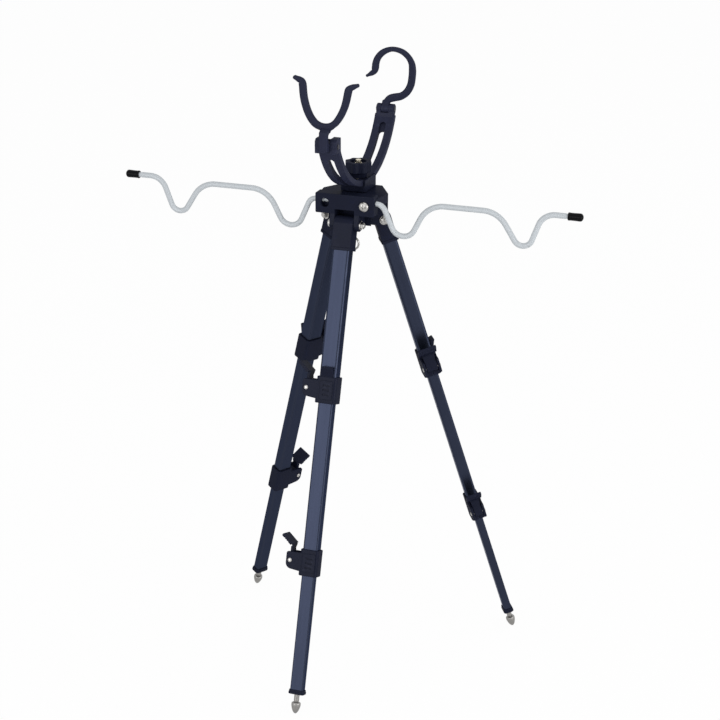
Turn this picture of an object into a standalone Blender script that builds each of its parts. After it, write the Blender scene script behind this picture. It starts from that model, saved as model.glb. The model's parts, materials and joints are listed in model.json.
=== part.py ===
"""Folding tripod for fishing rods: three telescopic legs, two bent wire arms and a rocking rod holder.

Metres, +Z up. The front leg points to -Y, the wire arms run along X, and the rod lies along Y.
"""

import math

import bmesh
import bpy
from mathutils import Matrix, Vector

# Clearances
RUN = 0.0003  # between pieces that move on each other
SEAT = 0.0002  # between pieces that are fixed to each other
BITE = 0.0005  # how far joined solids reach into each other
LEAST_CORNER = 0.0004

# Legs
LEG_LENGTH = 0.4972  # pivot to spike tip
LEG_SPREAD = math.radians(17.44)  # from upright, when the legs stand open
PIVOT_RADIUS = 0.027  # from the tripod's axis
TUBE_WIDTH = 0.018
TUBE_DEPTH = 0.0146
TUBE_CORNER = 0.0026
TUBE_CORNER_STEP = 0.0005  # how much tighter each next tube's corners are
TUBE_WALL = 0.0007
TUBE_FACE_GAP = 0.0009  # between two tubes, front and back
UPPER_LOCK_END = 0.1805  # pivot to the lower face of the upper lock
LOWER_LOCK_END = 0.3560
TUBE_OVERLAP = 0.028  # how much tube stays above a lock
LOCK_STOP = 0.0055  # from a lock's lower face to the end of the tube that it is fixed to
BUSH_FLANGE = 0.0025
BUSH_DEPTH = 0.008
BUSH_WALL = 0.0016

# Leg caps
CAP_WALL = 0.0009
CAP_LENGTH = 0.0265  # below the pivot
CAP_SOCKET_TOP = 0.0071  # below the pivot
CAP_LIP = 0.0006
CAP_LIP_HEIGHT = 0.003

# Pivot bolts
BOLT_RADIUS = 0.0025
BOLT_HEAD_RADIUS = 0.0046
BOLT_HEAD_HEIGHT = 0.0026
WASHER_RADIUS = 0.0055
WASHER_HEIGHT = 0.0009
NUT_RADIUS = 0.0046
NUT_HEIGHT = 0.004

# Flip locks
LOCK_HEIGHT = 0.027
LOCK_WALL = 0.0019
LOCK_CORNER = 0.0032
LOCK_EAR = 0.0029
LOCK_PIN_RADIUS = 0.0016
LOCK_PIN_HEAD_RADIUS = 0.0023
LOCK_PIN_HEAD_HEIGHT = 0.0008
LOCK_PIN_OUT = 0.0120  # from the tube's side
LOCK_PIN_DOWN = 0.0130  # below the lock's top
LOCK_EAR_REACH = 0.0042  # beyond the pin
LOCK_EAR_UP = 0.0088
LOCK_EAR_DOWN = 0.0086
LOCK_TONGUE_WIDTH = 0.0125
LOCK_TONGUE_HEIGHT = 0.0103
LOCK_TONGUE_OUT = 0.0036
LOCK_PANEL_WIDTH = 0.0135
LOCK_PANEL_HEIGHT = 0.0188
LOCK_PANEL_RAISE = 0.0007
LOCK_GRIP_COUNT = 3
LOCK_GRIP_PITCH = 0.0047
LOCK_GRIP_HEIGHT = 0.0019
LOCK_GRIP_WIDTH = 0.0072
LOCK_SLIT = 0.0012
LEVER_ELBOW_OUT = -0.0029  # the lever's bend, counted outward and upward from its pin
LEVER_ELBOW_UP = 0.0162
LEVER_TIP_OUT = 0.0090
LEVER_TIP_UP = 0.0264
LEVER_TAB_THICKNESS = 0.0024
LEVER_NECK = 0.0021
LEVER_BASE = 0.0038

# Feet
FOOT_WALL = 0.0008
FOOT_LIP = 0.0004
FOOT_HEIGHT = 0.0046
FOOT_LIP_HEIGHT = 0.0028
FOOT_FLOOR = 0.0016
SPIKE_LENGTH = 0.0201  # below the foot plug
SPIKE_THREAD_RADIUS = 0.002
SPIKE_NECK_RADIUS = 0.0026
SPIKE_CONE_RADIUS = 0.0044
SPIKE_CONE_LENGTH = 0.0116
SPIKE_TIP_RADIUS = 0.0013

# Head block, heights counted from the leg pivots
HEAD_FACE = 0.031  # tripod axis to the face of each leg socket
HEAD_EAR = 0.0051
HEAD_TOP = 0.0275
HEAD_PLATE = 0.0095
HEAD_EAR_RADIUS = 0.0065
HEAD_CORE_BOTTOM = -0.004
SOCKET_ROOF = 0.0155
BAR_HALF_LENGTH = 0.031
BAR_DEPTH = 0.0125
BAR_TOP = 0.031
BAR_BOTTOM = 0.0104
CHEEK_X = 0.0346  # half width of the top plate beside the rear sockets

# Wire arms
WIRE_RADIUS = 0.0025
WIRE_HEIGHT = 0.0233
WIRE_INNER = 0.008  # from the middle to where a wire ends inside the bar
WIRE_SHOULDER = 0.0395  # from the middle to each bend, in order
WIRE_FIRST_DIP_START = 0.0508
WIRE_FIRST_DIP_END = 0.0715
WIRE_RUN_START = 0.0840
WIRE_RUN_END = 0.1592
WIRE_SECOND_DIP_START = 0.1730
WIRE_SECOND_DIP_END = 0.1922
WIRE_TAIL_START = 0.2030
WIRE_END = 0.239
WIRE_WIDE_BEND = 0.010
WIRE_BEND = 0.009
WIRE_CLOSE_BEND = 0.008
WIRE_RISE = 0.0272  # the long run between the two dips
WIRE_END_RISE = 0.0297
WIRE_FIRST_DIP = -0.0078
WIRE_SECOND_DIP = -0.0045
TIP_RADIUS = 0.004
TIP_LENGTH = 0.015
TIP_FLOOR = 0.003
CLAMP_SCREW_X = 0.0208
CLAMP_SCREW_HEIGHT = 0.0208
CLAMP_HOLE_HEIGHT = 0.0212
CLAMP_HOLE_RADIUS = 0.0045
CLAMP_SCREW_RADIUS = 0.0023
CLAMP_HEAD_RADIUS = 0.005

# Weight hook
HOOK_WIRE_RADIUS = 0.0011
WEIGHT_HOOK_Y = -0.007
WEIGHT_HOOK_RADIUS = 0.0065
WEIGHT_HOOK_DROP = 0.0215
WEIGHT_HOOK_SHANK = 0.007

# Rod holder
HOLDER_Y = 0.010  # its turning axis
ARC_RADIUS = 0.0915  # to the middle of the strap
ARC_BOTTOM = 0.0359  # middle of the strap at its lowest, above the leg pivots
STRAP_WIDTH = 0.0212
STRAP_THICKNESS = 0.006
ARC_HALF = math.radians(63)
SLOT_FRONT = math.radians(57)
SLOT_REAR = math.radians(51.5)
SLOT_WIDTH = 0.0068
POCKET_LENGTH = math.radians(5.5)
SADDLE_WIDTH = 0.0262
SADDLE_LENGTH = 0.032
SADDLE_TOP = 0.0405
CLEVIS_WIDTH = 0.0222
CLEVIS_DEPTH = 0.0135
CLEVIS_HEIGHT = 0.0145
CLEVIS_CHAMFER = 0.0025
CLEVIS_REACH = 0.0112  # in front of the strap's end
CLEVIS_DROP = 0.001  # below the strap's end
CRADLE_PIN_UP = 0.0068  # above the clevis's lower face
HOOK_PIN_BACK = 0.0014  # behind the strap's end
HOOK_PIN_UP = 0.0058
HINGE_PIN_RADIUS = 0.0016
HINGE_PIN_HEAD = 0.0025
KNUCKLE_RADIUS = 0.0046
KNUCKLE_WIDTH = 0.008
REAR_LUG_RADIUS = 0.0052
REAR_LUG_WIDTH = 0.0186
REAR_LUG_OPEN = 0.0036  # how far below its pin the lug is open, so that the hook can fold
KNOB_RADIUS = 0.0138
KNOB_LOBE = 0.0009
KNOB_LOBES = 8
KNOB_HUB_RADIUS = 0.0085
KNOB_TOP = 0.056
KNOB_GRIP = 0.0105
KNOB_RECESS_RADIUS = 0.0082
KNOB_RECESS = 0.0035
CENTRE_BOLT_RADIUS = 0.0028
CENTRE_BOLT_HEAD_RADIUS = 0.0048
CENTRE_BOLT_HEAD_HEIGHT = 0.003
CENTRE_NUT_RADIUS = 0.0056
CENTRE_NUT_HEIGHT = 0.0042
COUNTERBORE_RADIUS = 0.007
COUNTERBORE_ROOF = 0.012

# Rod cradle and rod hook
CRADLE_THICKNESS = 0.0056
CRADLE_BAR = 0.0046
CRADLE_STEM_WIDTH = 0.0078
CRADLE_STEM_FRONT = 0.0118  # from the hinge pin to the stem's front
CRADLE_STEM_DEPTH = 0.005
CRADLE_PLANE = 0.0031  # the fork's middle in front of the hinge pin
CRADLE_BOTTOM = 0.0193  # from the hinge pin up to the middle of the fork's bar
CRADLE_BOWL = 0.0098  # half width of the flat of the bowl
CRADLE_WAIST = 0.0203  # half width where the bowl turns into the arms
CRADLE_WAIST_UP = 0.0207  # above the bottom
CRADLE_MOUTH = 0.0228  # half width at the top of the arms
CRADLE_RIGHT_ARM = 0.0405  # the height of each arm above the bottom
CRADLE_LEFT_ARM = 0.0440
CRADLE_LIP_OUT = 0.0088
CRADLE_LIP_UP = 0.002
HOOK_THICKNESS = 0.0052
HOOK_BAR = 0.0052
HOOK_LEFT = -0.0116
HOOK_RIGHT = 0.0282
HOOK_TOP = 0.063
HOOK_BOTTOM = 0.0122
HOOK_MOUTH = 0.0382
HOOK_LIP_OUT = 0.0092
HOOK_LIP_DOWN = 0.005
LIP_TAPER = 0.45  # a lip's width at its tip, as a share of the bar's

# Sizes that follow from the ones above
CAP_WIDTH = TUBE_WIDTH + 2 * (CAP_WALL + SEAT)
CAP_DEPTH = TUBE_DEPTH + 2 * (CAP_WALL + SEAT)
SOCKET_HALF = CAP_WIDTH / 2 + RUN
EAR_OUTER = SOCKET_HALF + HEAD_EAR
CAP_HEEL = CAP_DEPTH / 2
FOOT_TOP = LEG_LENGTH - SPIKE_LENGTH - FOOT_HEIGHT  # below the pivot
STOP_REACH = CAP_DEPTH / 2 * math.cos(LEG_SPREAD) + CAP_HEEL * math.sin(LEG_SPREAD)
SOCKET_BACK = PIVOT_RADIUS - STOP_REACH - RUN
BAR_Y = -HEAD_FACE + BAR_DEPTH / 2
BAR_REAR = -HEAD_FACE + BAR_DEPTH
ARC_CENTRE = ARC_BOTTOM + ARC_RADIUS
STRAP_OUTER = ARC_RADIUS + STRAP_THICKNESS / 2
STRAP_INNER = ARC_RADIUS - STRAP_THICKNESS / 2
ARC_REACH = ARC_RADIUS * math.sin(ARC_HALF)
ARC_END = ARC_CENTRE - ARC_RADIUS * math.cos(ARC_HALF)
FRONT_END = Vector((0, HOLDER_Y - ARC_REACH, ARC_END))
REAR_END = Vector((0, HOLDER_Y + ARC_REACH, ARC_END))
CLEVIS_FRONT = FRONT_END.y - CLEVIS_REACH
CLEVIS_BOTTOM = FRONT_END.z - CLEVIS_DROP
CRADLE_PIN = Vector((0, CLEVIS_FRONT + KNUCKLE_RADIUS + RUN, CLEVIS_BOTTOM + CRADLE_PIN_UP))
HOOK_PIN = Vector((0, REAR_END.y + HOOK_PIN_BACK, REAR_END.z + HOOK_PIN_UP))

parts = None
cutters = None


def clear_scene():
    for item in list(bpy.data.objects):
        bpy.data.objects.remove(item, do_unlink=True)


def new_collection(name):
    collection = bpy.data.collections.new(name)
    bpy.context.scene.collection.children.link(collection)
    return collection


def material(name, color, roughness, metallic=0.0):
    made = bpy.data.materials.new(name)
    made.use_nodes = True
    shader = made.node_tree.nodes["Principled BSDF"]
    shader.inputs["Base Color"].default_value = (*color, 1)
    shader.inputs["Roughness"].default_value = roughness
    shader.inputs["Metallic"].default_value = metallic
    made.diffuse_color = (*color, 1)
    return made


def anchor(name, parent=None, location=(0, 0, 0), rotation=(0, 0, 0)):
    empty = bpy.data.objects.new(name, None)
    parts.objects.link(empty)
    empty.empty_display_size = 0.01
    empty.parent = parent
    empty.location = location
    empty.rotation_euler = rotation
    return empty


# Outlines


def circle(radius, count, centre=(0, 0), turn=0.0):
    return [
        (
            centre[0] + radius * math.cos(turn + 2 * math.pi * k / count),
            centre[1] + radius * math.sin(turn + 2 * math.pi * k / count),
        )
        for k in range(count)
    ]


def arc(centre, radius, start, end, steps):
    return [
        (
            centre[0] + radius * math.cos(start + (end - start) * k / steps),
            centre[1] + radius * math.sin(start + (end - start) * k / steps),
        )
        for k in range(steps + 1)
    ]


def rectangle(width, height, centre=(0, 0)):
    x, y = centre
    a, b = width / 2, height / 2
    return [(x - a, y - b), (x + a, y - b), (x + a, y + b), (x - a, y + b)]


def rounded_rectangle(width, height, radius, steps=2):
    radius = max(radius, LEAST_CORNER)
    a, b = width / 2 - radius, height / 2 - radius
    corners = [(a, b, 0.0), (-a, b, 0.5), (-a, -b, 1.0), (a, -b, 1.5)]
    points = []
    for x, y, turn in corners:
        points += arc((x, y), radius, turn * math.pi, (turn + 0.5) * math.pi, steps)
    return points


def rounded_path(corners, steps=5):
    """Points along straight runs whose corners are rounded: each corner is (x, y, radius)."""
    points = [Vector(corners[0][:2])]
    for before, here, after in zip(corners, corners[1:], corners[2:]):
        corner = Vector(here[:2])
        into = (corner - Vector(before[:2])).normalized()
        out = (Vector(after[:2]) - corner).normalized()
        turn = math.acos(max(-1.0, min(1.0, into.dot(out))))
        radius = here[2]
        reach = radius * math.tan(turn / 2)
        side = math.copysign(1.0, into.x * out.y - into.y * out.x)
        start = corner - into * reach
        centre = start + Vector((-into.y, into.x)) * radius * side
        arm = start - centre
        for k in range(steps + 1):
            angle = side * turn * k / steps
            points.append(centre + Matrix.Rotation(angle, 2) @ arm)
    points.append(Vector(corners[-1][:2]))
    return [(p.x, p.y) for p in points]


def ribbon(path, width, tips=(1.0, 1.0)):
    """The outline of a flat bar along a path. Its last run at each end narrows to a share of its width."""
    left, right = [], []
    for k, point in enumerate(path):
        here = Vector(point)
        before = Vector(path[max(k - 1, 0)])
        after = Vector(path[min(k + 1, len(path) - 1)])
        along = ((here - before).normalized() + (after - here).normalized()).normalized()
        square = Vector((-along.y, along.x))
        spread = width / 2
        if k == 0:
            spread *= tips[0]
        elif k == len(path) - 1:
            spread *= tips[1]
        else:
            spread /= max(0.5, square.dot(Vector((-(after - here).y, (after - here).x)).normalized()))
        left.append(tuple(here + square * spread))
        right.append(tuple(here - square * spread))
    return left + right[::-1]


# Solids


def solid_from_curve(curve, flat=False):
    """The mesh that a filled or bevelled curve makes, with its caps welded on."""
    holder = bpy.data.objects.new(curve.name, curve)
    parts.objects.link(holder)
    graph = bpy.context.evaluated_depsgraph_get()
    mesh = bpy.data.meshes.new_from_object(holder.evaluated_get(graph))
    bpy.data.objects.remove(holder)
    shape = bmesh.new()
    shape.from_mesh(mesh)
    bmesh.ops.remove_doubles(shape, verts=shape.verts, dist=1e-6)
    bmesh.ops.recalc_face_normals(shape, faces=shape.faces)
    if flat:
        bmesh.ops.dissolve_limit(shape, angle_limit=1e-3, verts=shape.verts, edges=shape.edges)
    shape.to_mesh(mesh)
    shape.free()
    mesh.materials.clear()
    return mesh


def plate(outlines, thickness, turn=None):
    """A flat outline, with any holes, given a thickness. turn lays its XY plane in another one."""
    curve = bpy.data.curves.new("outline", "CURVE")
    curve.dimensions = "2D"
    curve.fill_mode = "BOTH"
    curve.extrude = thickness / 2
    for outline in outlines:
        spline = curve.splines.new("POLY")
        spline.points.add(len(outline) - 1)
        for point, (x, y) in zip(spline.points, outline):
            point.co = (x, y, 0, 1)
        spline.use_cyclic_u = True
    mesh = solid_from_curve(curve, flat=True)
    if turn is not None:
        mesh.transform(turn)
    return mesh


# The plane of an outline: its x and y run along these axes of the solid
SIDE = Matrix(((0, 0, 1, 0), (1, 0, 0, 0), (0, 1, 0, 0), (0, 0, 0, 1)))  # y and z, thick along x
FACE = Matrix(((1, 0, 0, 0), (0, 0, -1, 0), (0, 1, 0, 0), (0, 0, 0, 1)))  # x and z, thick along y


def block(size, centre=(0, 0, 0)):
    shape = bmesh.new()
    bmesh.ops.create_cube(shape, size=1)
    bmesh.ops.scale(shape, vec=size, verts=shape.verts)
    bmesh.ops.translate(shape, vec=centre, verts=shape.verts)
    mesh = bpy.data.meshes.new("block")
    shape.to_mesh(mesh)
    shape.free()
    return mesh


def rod(radius, length, axis="Z", centre=(0, 0, 0), sides=16):
    shape = bmesh.new()
    bmesh.ops.create_cone(
        shape, cap_ends=True, segments=sides, radius1=radius, radius2=radius, depth=length
    )
    turn = {
        "X": Matrix.Rotation(math.pi / 2, 4, "Y"),
        "Y": Matrix.Rotation(-math.pi / 2, 4, "X"),
        "Z": Matrix.Identity(4),
    }[axis]
    bmesh.ops.transform(shape, matrix=Matrix.Translation(centre) @ turn, verts=shape.verts)
    mesh = bpy.data.meshes.new("rod")
    shape.to_mesh(mesh)
    shape.free()
    return mesh


def turned(profile, axis="Z", sides=16):
    """A turned shape. The profile is (radius, height) down its outer side, from the axis to the axis.

    A profile that doesn't start on the axis closes on itself, which makes a ring.
    """
    edges = [(k, k + 1) for k in range(len(profile) - 1)]
    if profile[0][0] > 0:
        edges.append((len(profile) - 1, 0))
    mesh = bpy.data.meshes.new("profile")
    mesh.from_pydata([(r, 0, z) for r, z in profile], edges, [])
    holder = bpy.data.objects.new("profile", mesh)
    parts.objects.link(holder)
    screw = holder.modifiers.new("Screw", "SCREW")
    screw.axis = "Z"
    screw.steps = sides
    screw.render_steps = sides
    screw.use_merge_vertices = True
    screw.merge_threshold = 1e-5
    graph = bpy.context.evaluated_depsgraph_get()
    made = bpy.data.meshes.new_from_object(holder.evaluated_get(graph))
    bpy.data.objects.remove(holder)
    shape = bmesh.new()
    shape.from_mesh(made)
    bmesh.ops.remove_doubles(shape, verts=shape.verts, dist=1e-6)
    bmesh.ops.recalc_face_normals(shape, faces=shape.faces)
    shape.to_mesh(made)
    shape.free()
    if axis == "X":
        made.transform(Matrix.Rotation(math.pi / 2, 4, "Y"))
    elif axis == "-X":
        made.transform(Matrix.Rotation(-math.pi / 2, 4, "Y"))
    elif axis == "-Y":
        made.transform(Matrix.Rotation(math.pi / 2, 4, "X"))
    return made


def moved(mesh, offset=(0, 0, 0), turn=None):
    copy = mesh.copy()
    if turn is not None:
        copy.transform(turn)
    copy.transform(Matrix.Translation(offset))
    return copy


def combine(base, joined=(), cut=()):
    """One solid: base with some meshes joined on, then others cut away."""
    holder = bpy.data.objects.new("work", base)
    parts.objects.link(holder)
    tools = []
    for operation, meshes in (("UNION", joined), ("DIFFERENCE", cut)):
        for mesh in meshes:
            tool = bpy.data.objects.new("cutter", mesh)
            cutters.objects.link(tool)
            tool.hide_render = True
            tool.display_type = "WIRE"
            tools.append(tool)
            modifier = holder.modifiers.new(operation.title(), "BOOLEAN")
            modifier.operation = operation
            modifier.solver = "EXACT"
            modifier.object = tool
    graph = bpy.context.evaluated_depsgraph_get()
    made = bpy.data.meshes.new_from_object(holder.evaluated_get(graph))
    bpy.data.objects.remove(holder)
    for tool in tools:
        bpy.data.objects.remove(tool)
    made.materials.clear()
    return made


def wire(path, radius, resolution=2):
    """A round bar along points in space."""
    curve = bpy.data.curves.new("wire", "CURVE")
    curve.dimensions = "3D"
    curve.bevel_depth = radius
    curve.bevel_resolution = resolution
    curve.use_fill_caps = True
    spline = curve.splines.new("POLY")
    spline.points.add(len(path) - 1)
    for point, place in zip(spline.points, path):
        point.co = (*place, 1)
    return solid_from_curve(curve)


def place(name, mesh, finish, parent, location=(0, 0, 0), rotation=(0, 0, 0), smooth=False, bevel=0.0):
    """Puts a solid in the scene as one named sub-part."""
    mesh.name = name
    item = bpy.data.objects.new(name, mesh)
    parts.objects.link(item)
    item.parent = parent
    item.location = location
    item.rotation_euler = rotation
    if not mesh.materials:
        mesh.materials.append(finish)
    if smooth:
        mesh.shade_smooth()
    if bevel:
        rounding = item.modifiers.new("Edges", "BEVEL")
        rounding.width = bevel
        rounding.segments = 1
        rounding.limit_method = "ANGLE"
        rounding.angle_limit = math.radians(50)
    return item


# Leg tubes


def tube_size(stage):
    """Width, depth and corner radius of the upper, middle or lower tube."""
    step_width = 2 * (TUBE_WALL + RUN)
    step_depth = 2 * (TUBE_WALL + TUBE_FACE_GAP)
    corner = TUBE_CORNER - stage * TUBE_CORNER_STEP
    return TUBE_WIDTH - stage * step_width, TUBE_DEPTH - stage * step_depth, corner


def tube_outline(stage, grow=0.0):
    width, depth, corner = tube_size(stage)
    return rounded_rectangle(width + 2 * grow, depth + 2 * grow, corner + grow)


def tube_solid(stage, top, bottom):
    """A tube between two distances below the leg's pivot."""
    mesh = plate([tube_outline(stage), tube_outline(stage, -TUBE_WALL)], bottom - top)
    return moved(mesh, (0, 0, -(top + bottom) / 2))


def bush_solid(stage):
    """The guide plug in a tube's top end. Its flange runs in the tube above it."""
    outer_width, outer_depth, corner = tube_size(stage - 1)
    clear = TUBE_WALL + RUN / 2
    flange = rounded_rectangle(outer_width - 2 * clear, outer_depth - 2 * clear, corner - TUBE_WALL)
    neck = tube_outline(stage, -TUBE_WALL - SEAT)
    bore = tube_outline(stage, -TUBE_WALL - SEAT - BUSH_WALL)
    head = moved(plate([flange, bore], BUSH_FLANGE), (0, 0, BUSH_FLANGE / 2))
    skirt = moved(plate([neck, bore], BUSH_DEPTH + BITE), (0, 0, -(BUSH_DEPTH - BITE) / 2))
    return combine(head, joined=[skirt])


def cap_solid():
    """The moulded cap on top of a leg: a heel that stops the leg, and a socket for the tube."""
    half = CAP_DEPTH / 2
    lip = CAP_LENGTH - CAP_LIP_HEIGHT
    outline = [(half, -CAP_LENGTH), (half, CAP_HEEL), (0.0, CAP_HEEL)]
    outline += arc((0, 0), half, math.pi / 2, math.pi, 6)[1:]
    outline += [(-half, -CAP_LENGTH)]
    body = plate([outline[::-1]], CAP_WIDTH, SIDE)
    flare = rounded_rectangle(CAP_WIDTH + 2 * CAP_LIP, CAP_DEPTH + 2 * CAP_LIP, 0.0015, 2)
    ring = moved(plate([flare], CAP_LIP_HEIGHT), (0, 0, -lip - CAP_LIP_HEIGHT / 2))
    depth = CAP_LENGTH - CAP_SOCKET_TOP
    socket = moved(plate([tube_outline(0, SEAT)], depth + BITE), (0, 0, -CAP_SOCKET_TOP - (depth + BITE) / 2))
    bore = rod(BOLT_RADIUS + RUN, CAP_WIDTH + 0.004, "X")
    return combine(body, joined=[ring], cut=[socket, bore])


def bolt_solid():
    """Pan-head screw with its washers and nut. It lies along X, with its head to -X."""
    face = EAR_OUTER + SEAT
    out = face + WASHER_HEIGHT
    screw = turned(
        [
            (0, out + BOLT_HEAD_HEIGHT),
            (BOLT_HEAD_RADIUS * 0.62, out + BOLT_HEAD_HEIGHT),
            (BOLT_HEAD_RADIUS * 0.92, out + BOLT_HEAD_HEIGHT * 0.62),
            (BOLT_HEAD_RADIUS, out + BOLT_HEAD_HEIGHT * 0.2),
            (BOLT_HEAD_RADIUS, out),
            (WASHER_RADIUS, out),
            (WASHER_RADIUS, face),
            (BOLT_RADIUS, face),
            (BOLT_RADIUS, -face),
            (WASHER_RADIUS, -face),
            (WASHER_RADIUS, -out),
            (BOLT_RADIUS, -out),
            (BOLT_RADIUS, -out - NUT_HEIGHT - 0.0012),
            (0, -out - NUT_HEIGHT - 0.0012),
        ],
        "-X",
        sides=10,
    )
    nut = rod(NUT_RADIUS, NUT_HEIGHT + BITE, "X", (out + (NUT_HEIGHT - BITE) / 2, 0, 0), sides=6)
    return combine(screw, joined=[nut])


# Flip locks


def lock_sizes(stage):
    """Half width and half depth of the lock on the tube of this stage, its pin's x and its lever's width."""
    width, depth, _ = tube_size(stage)
    half_depth = depth / 2 + LOCK_WALL
    return width / 2 + LOCK_WALL, half_depth, -(width / 2 + LOCK_PIN_OUT), 2 * (half_depth - LOCK_EAR - RUN)


def lock_solid(stage):
    """The split collar at a tube's lower end, with the ears that hold its lever. Its top is at z = 0."""
    half_width, half_depth, pin_x, lever_width = lock_sizes(stage)
    tube_depth = tube_size(stage)[1]
    ear_place = half_depth - LOCK_EAR / 2
    middle = -LOCK_HEIGHT / 2

    body_outline = rounded_rectangle(2 * half_width, 2 * half_depth, LOCK_CORNER, 2)
    body = moved(plate([body_outline], LOCK_HEIGHT), (0, 0, middle))

    reach = pin_x - LOCK_EAR_REACH
    root = -half_width + 0.0032
    ear_corners = [
        (root, LOCK_EAR_UP, 0),
        (reach, LOCK_EAR_UP, 0.0016),
        (reach, -LOCK_EAR_DOWN + 0.001, 0.0036),
        (root, -LOCK_EAR_DOWN - 0.0014, 0),
    ]
    ear_outline = [(x, z - LOCK_PIN_DOWN) for x, z in rounded_path(ear_corners, 2)]
    ear = plate([ear_outline], LOCK_EAR - 0.0004, FACE)
    ears = [moved(ear, (0, -ear_place, 0)), moved(ear, (0, ear_place, 0))]

    front = -half_depth
    panel = rounded_rectangle(LOCK_PANEL_WIDTH, LOCK_PANEL_HEIGHT, 0.0018, 2)
    panel = plate([panel], LOCK_PANEL_RAISE + BITE, FACE)
    joined = [*ears, moved(panel, (0.0006, front - (LOCK_PANEL_RAISE - BITE) / 2, middle))]
    if stage == 0:
        inner = -(tube_depth / 2 + SEAT)
        tongue = [
            (inner, -0.004),
            (inner, LOCK_TONGUE_HEIGHT - 0.0012),
            (front - LOCK_TONGUE_OUT + 0.001, LOCK_TONGUE_HEIGHT),
            (front - LOCK_TONGUE_OUT, LOCK_TONGUE_HEIGHT - 0.0009),
            (front + 0.0003, 0.0002),
            (front + 0.0003, -0.004),
        ]
        joined.append(plate([tongue], LOCK_TONGUE_WIDTH, SIDE))

    upper = LOCK_HEIGHT - LOCK_STOP + SEAT
    cuts = [
        moved(plate([tube_outline(stage, SEAT)], upper + BITE), (0, 0, -(upper - BITE) / 2)),
        moved(plate([tube_outline(stage + 1, RUN)], LOCK_HEIGHT), (0, 0, middle - 0.002)),
        block(
            (LOCK_WALL + 0.003, LOCK_SLIT, LOCK_HEIGHT + 0.002),
            (-half_width + (LOCK_WALL - 0.001) / 2, 0, middle),
        ),
        rod(LOCK_PIN_RADIUS + RUN, 2 * half_depth + 0.002, "Y", (pin_x, 0, -LOCK_PIN_DOWN), sides=10),
    ]
    for k in range(LOCK_GRIP_COUNT):
        height = middle + LOCK_GRIP_PITCH * (k - (LOCK_GRIP_COUNT - 1) / 2)
        size = (LOCK_GRIP_WIDTH, 2 * LOCK_PANEL_RAISE, LOCK_GRIP_HEIGHT)
        cuts.append(block(size, (0, front - LOCK_PANEL_RAISE, height)))
    return combine(body, joined=joined, cut=cuts)


def lever_solid(width):
    """The lock's lever: a cam on the pin, a thin neck, and a thumb tab that stands off the tube."""
    nose = LOCK_PIN_OUT - LOCK_WALL - RUN  # as far as the lock's side
    half_neck = LEVER_NECK / 2
    elbow = Vector((-LEVER_ELBOW_OUT, LEVER_ELBOW_UP))
    tab = Vector((-LEVER_TIP_OUT, LEVER_TIP_UP)) - elbow
    square = Vector((-tab.y, tab.x)).normalized() * LEVER_TAB_THICKNESS
    outline = arc((0, 0), nose, 0.3, -0.3, 2)
    outline += [(0.005, -LEVER_BASE * 0.7)]
    outline += arc((0, 0), LEVER_BASE, -0.35 * math.pi, -1.1 * math.pi, 5)
    outline += [(-LEVER_BASE * 0.9, 0.005), (-half_neck - 0.0002, 0.0088), (-half_neck - 0.0002, 0.0132)]
    outline += [tuple(elbow + square + tab * 0.08), tuple(elbow + square + tab * 0.93)]
    outline += [tuple(elbow + square * 0.7 + tab), tuple(elbow + square * 0.2 + tab)]
    outline += [tuple(elbow + tab * 0.95), tuple(elbow)]
    outline += [(half_neck + 0.0004, 0.0118), (half_neck + 0.0012, 0.0072)]
    body = plate([outline], width, FACE)
    bore = rod(LOCK_PIN_RADIUS + RUN, width + 0.002, "Y", sides=10)
    return combine(body, cut=[bore])


def pin_solid(half_length, radius, head_radius, head_height, axis):
    """A riveted pin that lies along an axis and stands out of both ends of its seat."""
    reach = half_length + SEAT
    return turned(
        [
            (0, reach + head_height),
            (head_radius * 0.75, reach + head_height),
            (head_radius, reach + head_height * 0.4),
            (head_radius, reach),
            (radius, reach),
            (radius, -reach),
            (head_radius, -reach),
            (head_radius, -reach - head_height),
            (0, -reach - head_height),
        ],
        axis,
        sides=8,
    )


# Feet


def foot_solid():
    """The moulded plug over a leg's lower end. Its top is at z = 0."""
    width, depth, corner = tube_size(2)
    grow = SEAT + FOOT_WALL
    body = plate([rounded_rectangle(width + 2 * grow, depth + 2 * grow, corner + grow)], FOOT_HEIGHT)
    body = moved(body, (0, 0, -FOOT_HEIGHT / 2))
    wide = grow + FOOT_LIP
    lip = plate([rounded_rectangle(width + 2 * wide, depth + 2 * wide, corner + wide)], FOOT_LIP_HEIGHT)
    lip = moved(lip, (0, 0, -FOOT_HEIGHT + FOOT_LIP_HEIGHT / 2))
    socket_depth = FOOT_HEIGHT - FOOT_FLOOR
    socket = moved(plate([tube_outline(2, SEAT)], socket_depth + BITE), (0, 0, -(socket_depth - BITE) / 2))
    bore = rod(SPIKE_THREAD_RADIUS + SEAT, 0.03, sides=10)
    return combine(body, joined=[lip], cut=[socket, bore])


def spike_solid():
    """Screw-in ground spike. Its shoulder is at z = 0, under the foot plug."""
    cone_top = -SPIKE_LENGTH + SPIKE_CONE_LENGTH
    tip = SPIKE_TIP_RADIUS
    profile = [
        (0, FOOT_FLOOR + 0.006),
        (SPIKE_THREAD_RADIUS * 0.8, FOOT_FLOOR + 0.006),
        (SPIKE_THREAD_RADIUS, FOOT_FLOOR + 0.0054),
        (SPIKE_THREAD_RADIUS, -SEAT),
        (SPIKE_NECK_RADIUS, -SEAT),
        (SPIKE_NECK_RADIUS, cone_top),
        (SPIKE_CONE_RADIUS * 0.9, cone_top),
        (SPIKE_CONE_RADIUS, cone_top - 0.0008),
        (SPIKE_CONE_RADIUS, cone_top - 0.0022),
    ]
    profile += [(tip * math.cos(a), -SPIKE_LENGTH + tip - tip * math.sin(a)) for a in (0.35, 0.95)]
    profile += [(0, -SPIKE_LENGTH)]
    return turned(profile, sides=10)


# Head block


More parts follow.
